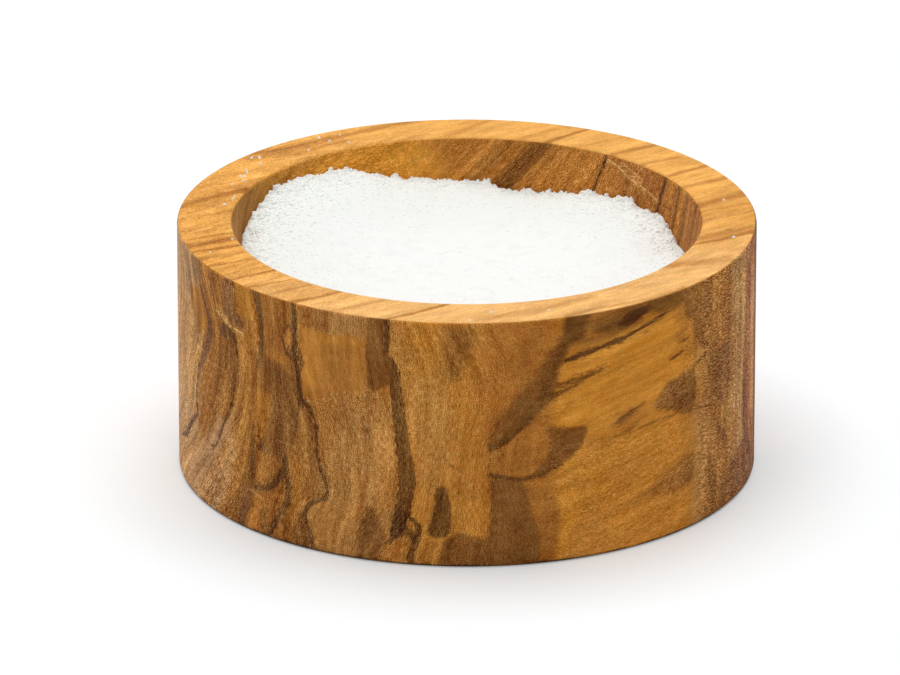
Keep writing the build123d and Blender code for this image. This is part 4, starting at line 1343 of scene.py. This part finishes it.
def salt_like(name, facets):
    """Salt scatters light inside each grain, so its facets shade more softly than they lie."""
    material, tree, surface_socket = new_material(name)
    facing = tree.nodes.new("ShaderNodeNewGeometry").outputs["Normal"]
    own = node(tree, "ShaderNodeVectorMath", {0: facing, 3: facets}, operation="SCALE").outputs[0]
    upward = (0, 0, 1 - facets)
    eased = node(tree, "ShaderNodeVectorMath", {0: own, 1: upward}, operation="ADD").outputs[0]
    unit = node(tree, "ShaderNodeVectorMath", {0: eased}, operation="NORMALIZE").outputs[0]
    place = node(tree, "ShaderNodeTexCoord").outputs["Object"]
    flat = node(tree, "ShaderNodeVectorMath", {0: place, 1: (1, 1, 0)}, operation="MULTIPLY").outputs[0]
    centre = (salt_centre[0] * MM, salt_centre[1] * MM, 0)
    apart = node(tree, "ShaderNodeVectorMath", {0: flat, 1: centre}, operation="DISTANCE").outputs["Value"]
    cloud = maths(tree, "SUBTRACT", noise(tree, place, 1 / (cloud_size * MM), 3.0), 0.5)
    reach = maths(tree, "ADD", apart, maths(tree, "MULTIPLY", cloud, cloud_reach * MM))
    # Greyer towards the wall: painted shade from the wall
    colour = mix_colour(tree, ramp(tree, reach, pale_to * MM, wall_shade_from * MM), salt_middle, salt_edge)
    colour = mix_colour(tree, ramp(tree, cloud, 0.02, 0.18), colour, salt_shade)
    shader = node(tree, "ShaderNodeBsdfPrincipled", {
        "Base Color": colour, "Roughness": 0.55, "Specular IOR Level": 0.2, "Normal": unit,
    })
    tree.links.new(shader.outputs[0], surface_socket)
    return material


# The salt is palest round this place and greyer towards the wall, which is painted shade from the wall,
# with faint clouds
salt_centre = (4.0, -6.0)
pale_to = 12
wall_shade_from = 36
cloud_size = 2.6
cloud_reach = 30
salt_middle = (0.975, 0.985, 0.962)
# the grey of the painted shade next to the wall
salt_edge = (0.925, 0.945, 0.915)
salt_shade = (0.935, 0.95, 0.925)
salt_material = salt_like("salt", 0.8)
edge_material = salt_like("salt_edge", 0.85)
salt_columns = 480
salt_rings = 120
salt_clearance = 0.05
skirt_clearance = 0.15
floor_clearance = 0.02
lump_steepness = 14
salt_level = bowl_height - salt_below_rim
turn = np.radians(np.linspace(0, 360, salt_columns, endpoint=False))

# The heap meets the leaning wall at its own height there, which three rounds settle
edge_radius = np.full(salt_columns, wall_radius_at(salt_level))
for _ in range(3):
    edge_height = salt_height(edge_radius * np.cos(turn), edge_radius * np.sin(turn))
    edge_radius = wall_radius_at(edge_height) - salt_clearance


def salt_surface(px, py, near_wall):
    """Height of the heap with its small lumps, which grow towards the wall."""
    flat_points = np.stack([px, py, np.zeros(len(px))], -1)
    lumps = (0.10 + 0.5 * near_wall) * value_noise(flat_points, 1.6, 21)
    lumps = lumps + (0.04 + 0.12 * near_wall) * value_noise(flat_points, 1.1, 22)
    return salt_height(px, py) + lumps + 0.14 * value_noise(flat_points, 3.6, 23)


def heap_ring(radius, height):
    """A ring of the heap, whose radius and height may change round it."""
    return np.stack([radius * np.cos(turn), radius * np.sin(turn), height * np.ones(salt_columns)], -1)


# Rings from the middle of the underside out and up the wall, then over the heap to its middle
skirt = []
for depth_share in (0.08, 0.35, 0.62):
    height = salt_level * (1 - depth_share) + (floor_thickness + 4) * depth_share
    skirt.append(heap_ring(wall_radius_at(height) - skirt_clearance, height))
for angle in (-20, -45, -70, -90):
    radius = corner_centre[0] + hollow_corner_radius * math.cos(math.radians(angle)) - skirt_clearance
    height = corner_centre[1] + hollow_corner_radius * math.sin(math.radians(angle)) + floor_clearance
    skirt.append(heap_ring(radius, height))
layers = skirt[::-1]
for ring in range(salt_rings, 0, -1):
    radius = edge_radius * ring / salt_rings
    near_wall = (ring / salt_rings) ** lump_steepness
    layers.append(heap_ring(radius, salt_surface(radius * np.cos(turn), radius * np.sin(turn), near_wall)))
under = len(layers) * salt_columns
over = under + 1
heap_vertices = np.vstack(layers + [
    [[0, 0, floor_thickness + floor_clearance]],
    [[0, 0, float(salt_height(0.0, 0.0))]],
])
heap_faces = lathe_faces(len(layers), salt_columns, under, over)
heap = add_object("salt_heap", heap_vertices, heap_faces, salt_material)
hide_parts("salt")
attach(heap, "root")

crystal_sides = 5
crystal_tip = 0.12


def crystals(name, centres, sizes, seed, material, steep, roots=0.7):
    """Small salt crystals: blunt five-sided blocks, each shaped and tipped its own way, with their
    roots sunk below their centres."""
    rng = np.random.default_rng(seed)
    n = len(centres)
    sides = crystal_sides
    angle = 2 * math.pi * (np.arange(sides) + rng.uniform(-0.3, 0.3, (n, sides))) / sides
    angle += rng.uniform(0, 2 * math.pi, (n, 1))
    spread = sizes[:, None] * rng.uniform(0.8, 1.3, (n, sides))
    height = (sizes * steep * rng.uniform(0.6, 1.2, n))[:, None]
    shift = sizes[:, None] * rng.uniform(-crystal_tip, crystal_tip, (n, 2))
    blunt = rng.uniform(0.4, 0.75, (n, sides))
    top, root = 2 * sides, 2 * sides + 1
    shapes = np.zeros((n, 2 * sides + 2, 3))
    shapes[:, :sides, 0] = spread * np.cos(angle)
    shapes[:, :sides, 1] = spread * np.sin(angle)
    shapes[:, :sides, 2] = sizes[:, None] * rng.uniform(-0.5, -0.2, (n, sides))
    shapes[:, sides:top, 0] = spread * blunt * np.cos(angle) + shift[:, :1]
    shapes[:, sides:top, 1] = spread * blunt * np.sin(angle) + shift[:, 1:]
    shapes[:, sides:top, 2] = height * rng.uniform(0.65, 1.0, (n, sides))
    shapes[:, top, :2] = shift
    shapes[:, top, 2] = height[:, 0]
    shapes[:, root, 2] = -roots * sizes
    points = (shapes + centres[:, None]).reshape(-1, 3)
    corner = np.arange(sides)
    following = (corner + 1) % sides
    flank = np.stack([corner, following, following + sides], -1)
    other = np.stack([corner, following + sides, corner + sides], -1)
    upper = np.stack([corner + sides, following + sides, np.full(sides, top)], -1)
    lower = np.stack([following, corner, np.full(sides, root)], -1)
    form = np.vstack([flank, other, upper, lower])
    faces = (form[None] + (2 * sides + 2) * np.arange(n)[:, None, None]).reshape(-1, 3)
    made = add_object(name, points, faces.tolist(), material, smooth=False)
    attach(made, "root")


def strewn(n, seed, mean_inset, least, most):
    """Random places on the heap: how far each is in from the wall, and where it lies."""
    rng = np.random.default_rng(seed)
    inset = least + np.minimum(rng.exponential(mean_inset, n), most)
    angle = rng.uniform(0, 2 * math.pi, n)
    edge = np.interp(angle, np.append(turn, 2 * math.pi), np.append(edge_radius, edge_radius[0]))
    px = (edge - inset) * np.cos(angle)
    py = (edge - inset) * np.sin(angle)
    return rng, inset, px, py, salt_surface(px, py, ((edge - inset) / edge) ** lump_steepness)


# Grains all over the heap, sunk a little, that lie flatter away from the wall
grain_sink = 0.03
rng, inset, px, py, pz = strewn(8500, 31, mean_inset=11.0, least=1.2, most=30.0)
sizes = np.clip(rng.lognormal(math.log(0.32), 0.25, len(px)), 0.2, 0.5)
grain_steep = 0.2 + 0.6 * np.exp(-inset / 4.0)
crystals("salt_grains", np.stack([px, py, pz - grain_sink], -1), sizes, 41, salt_material, grain_steep)

# Grains that stand up where the heap meets the wall
rng, inset, px, py, pz = strewn(6000, 32, mean_inset=1.2, least=0.25, most=4.5)
sizes = np.clip(rng.lognormal(math.log(0.33), 0.28, len(px)), 0.18, 0.55)
clump = value_noise(np.stack([px, py, np.zeros(len(px))], -1), 1.6, 33)
stand = rng.uniform(0.1, 1.6, len(px)) * (1 + 0.8 * clump) * np.exp(-inset / 1.4)
crystals("salt_edge", np.stack([px, py, pz], -1), sizes, 42, edge_material, 0.35 + stand, roots=0.9)

# The camera's directions, to place the loose grains where it sees them
focal_pixels = camera_data.lens / camera_data.sensor_width * image_width
forward = (camera_aim - camera.location).normalized()
camera_right = Vector((1, 0, 0))
camera_up = camera_right.cross(forward)


def on_level(column, row, level):
    """The point in mm at one height that the camera sees at a pixel of the photograph."""
    sight = (
        forward * focal_pixels
        + camera_right * (column - image_width / 2)
        + camera_up * (image_height / 2 - row)
    )
    reach = (level * MM - camera.location.z) / sight.z
    return (camera.location + sight * reach) / MM


# Loose grains on the rim: column and row of each in the photograph
rim_grain_pixels = [
    (259.6, 158), (260.6, 163.7), (240.8, 176.4), (244.9, 176.2), (243.5, 180.8), (246.5, 170.3),
    (247.2, 173.2), (224.5, 204.5), (232.5, 184.6), (252, 158.5), (240.5, 197.7), (244, 200.6),
    (308.6, 150.3), (348.7, 142.6), (340, 135), (329.6, 141.2), (319, 138), (210, 252.3), (234.5, 239),
    (491.5, 312.5), (549, 310.4), (469.5, 320.7), (733.6, 237.3), (724, 200),
]
rim_grain_size = 0.29
rim_grain_lift = 0.05
inner_margin = 0.9
outer_margin = 0.8
places = np.array([on_level(column, row, bowl_height)[:] for column, row in rim_grain_pixels])
spread = np.hypot(places[:, 0], places[:, 1])
kept_on_rim = np.clip(spread, mouth_radius + inner_margin, outer_radius - outer_margin)
places[:, :2] *= (kept_on_rim / spread)[:, None]
places[:, 2] = bowl_height + rim_grain_lift
sizes = rim_grain_size * np.random.default_rng(33).uniform(0.7, 1.15, len(places))
crystals("rim_grains", places, sizes, 43, salt_material, 0.8)

# Floor and light

def seen_directly(tree):
    """1 on rays straight to the camera, by a shine or through glass, and 0 on scattered light."""
    path = tree.nodes.new("ShaderNodeLightPath")
    direct = maths(tree, "ADD", path.outputs["Is Camera Ray"], path.outputs["Is Glossy Ray"])
    return maths(tree, "ADD", direct, path.outputs["Is Transmission Ray"], clamp=True)


white = (1, 1, 1, 1)
floor_colour = (0.835, 0.865, 0.88, 1)
floor_glow = 0.22
floor_half = 4000.0
floor_height = -0.02
floor_material, tree, surface_socket = new_material("studio_floor")
matt = node(tree, "ShaderNodeBsdfDiffuse", {"Color": floor_colour})
glow_strength = maths(tree, "MULTIPLY", seen_directly(tree), floor_glow)
glow = node(tree, "ShaderNodeEmission", {"Color": white, "Strength": glow_strength})
both = node(tree, "ShaderNodeAddShader", {0: matt.outputs[0], 1: glow.outputs[0]})
tree.links.new(both.outputs[0], surface_socket)
floor_corners = [
    (side_x * floor_half, side_y * floor_half, floor_height)
    for side_x, side_y in ((-1, -1), (1, -1), (1, 1), (-1, 1))
]
floor = add_object("studio_floor", floor_corners, [(0, 1, 2, 3)], floor_material)

world_light = 0.4
world_seen_light = 0.6
world = bpy.data.worlds.new("world")
bpy.context.scene.world = world
world.use_nodes = True
tree = world.node_tree
tree.nodes.clear()
world_strength = maths(
    tree, "ADD", maths(tree, "MULTIPLY", seen_directly(tree), world_seen_light), world_light,
)
background = node(tree, "ShaderNodeBackground", {"Color": white, "Strength": world_strength})
world_output = tree.nodes.new("ShaderNodeOutputWorld")
tree.links.new(background.outputs[0], world_output.inputs["Surface"])

softbox_place = Vector((-0.06, 0.15, 1.3))
softbox_aim = Vector((0, 0, 0.02))
softbox_width = 1.3
softbox_depth = 1.1
softbox_power = 12.5
softbox_data = bpy.data.lights.new("overhead", "AREA")
softbox_data.shape = "RECTANGLE"
softbox_data.size = softbox_width
softbox_data.size_y = softbox_depth
softbox_data.energy = softbox_power
softbox = bpy.data.objects.new("overhead", softbox_data)
softbox.location = softbox_place
softbox.rotation_euler = (softbox_aim - softbox_place).to_track_quat("-Z", "Y").to_euler()
bpy.context.scene.collection.objects.link(softbox)
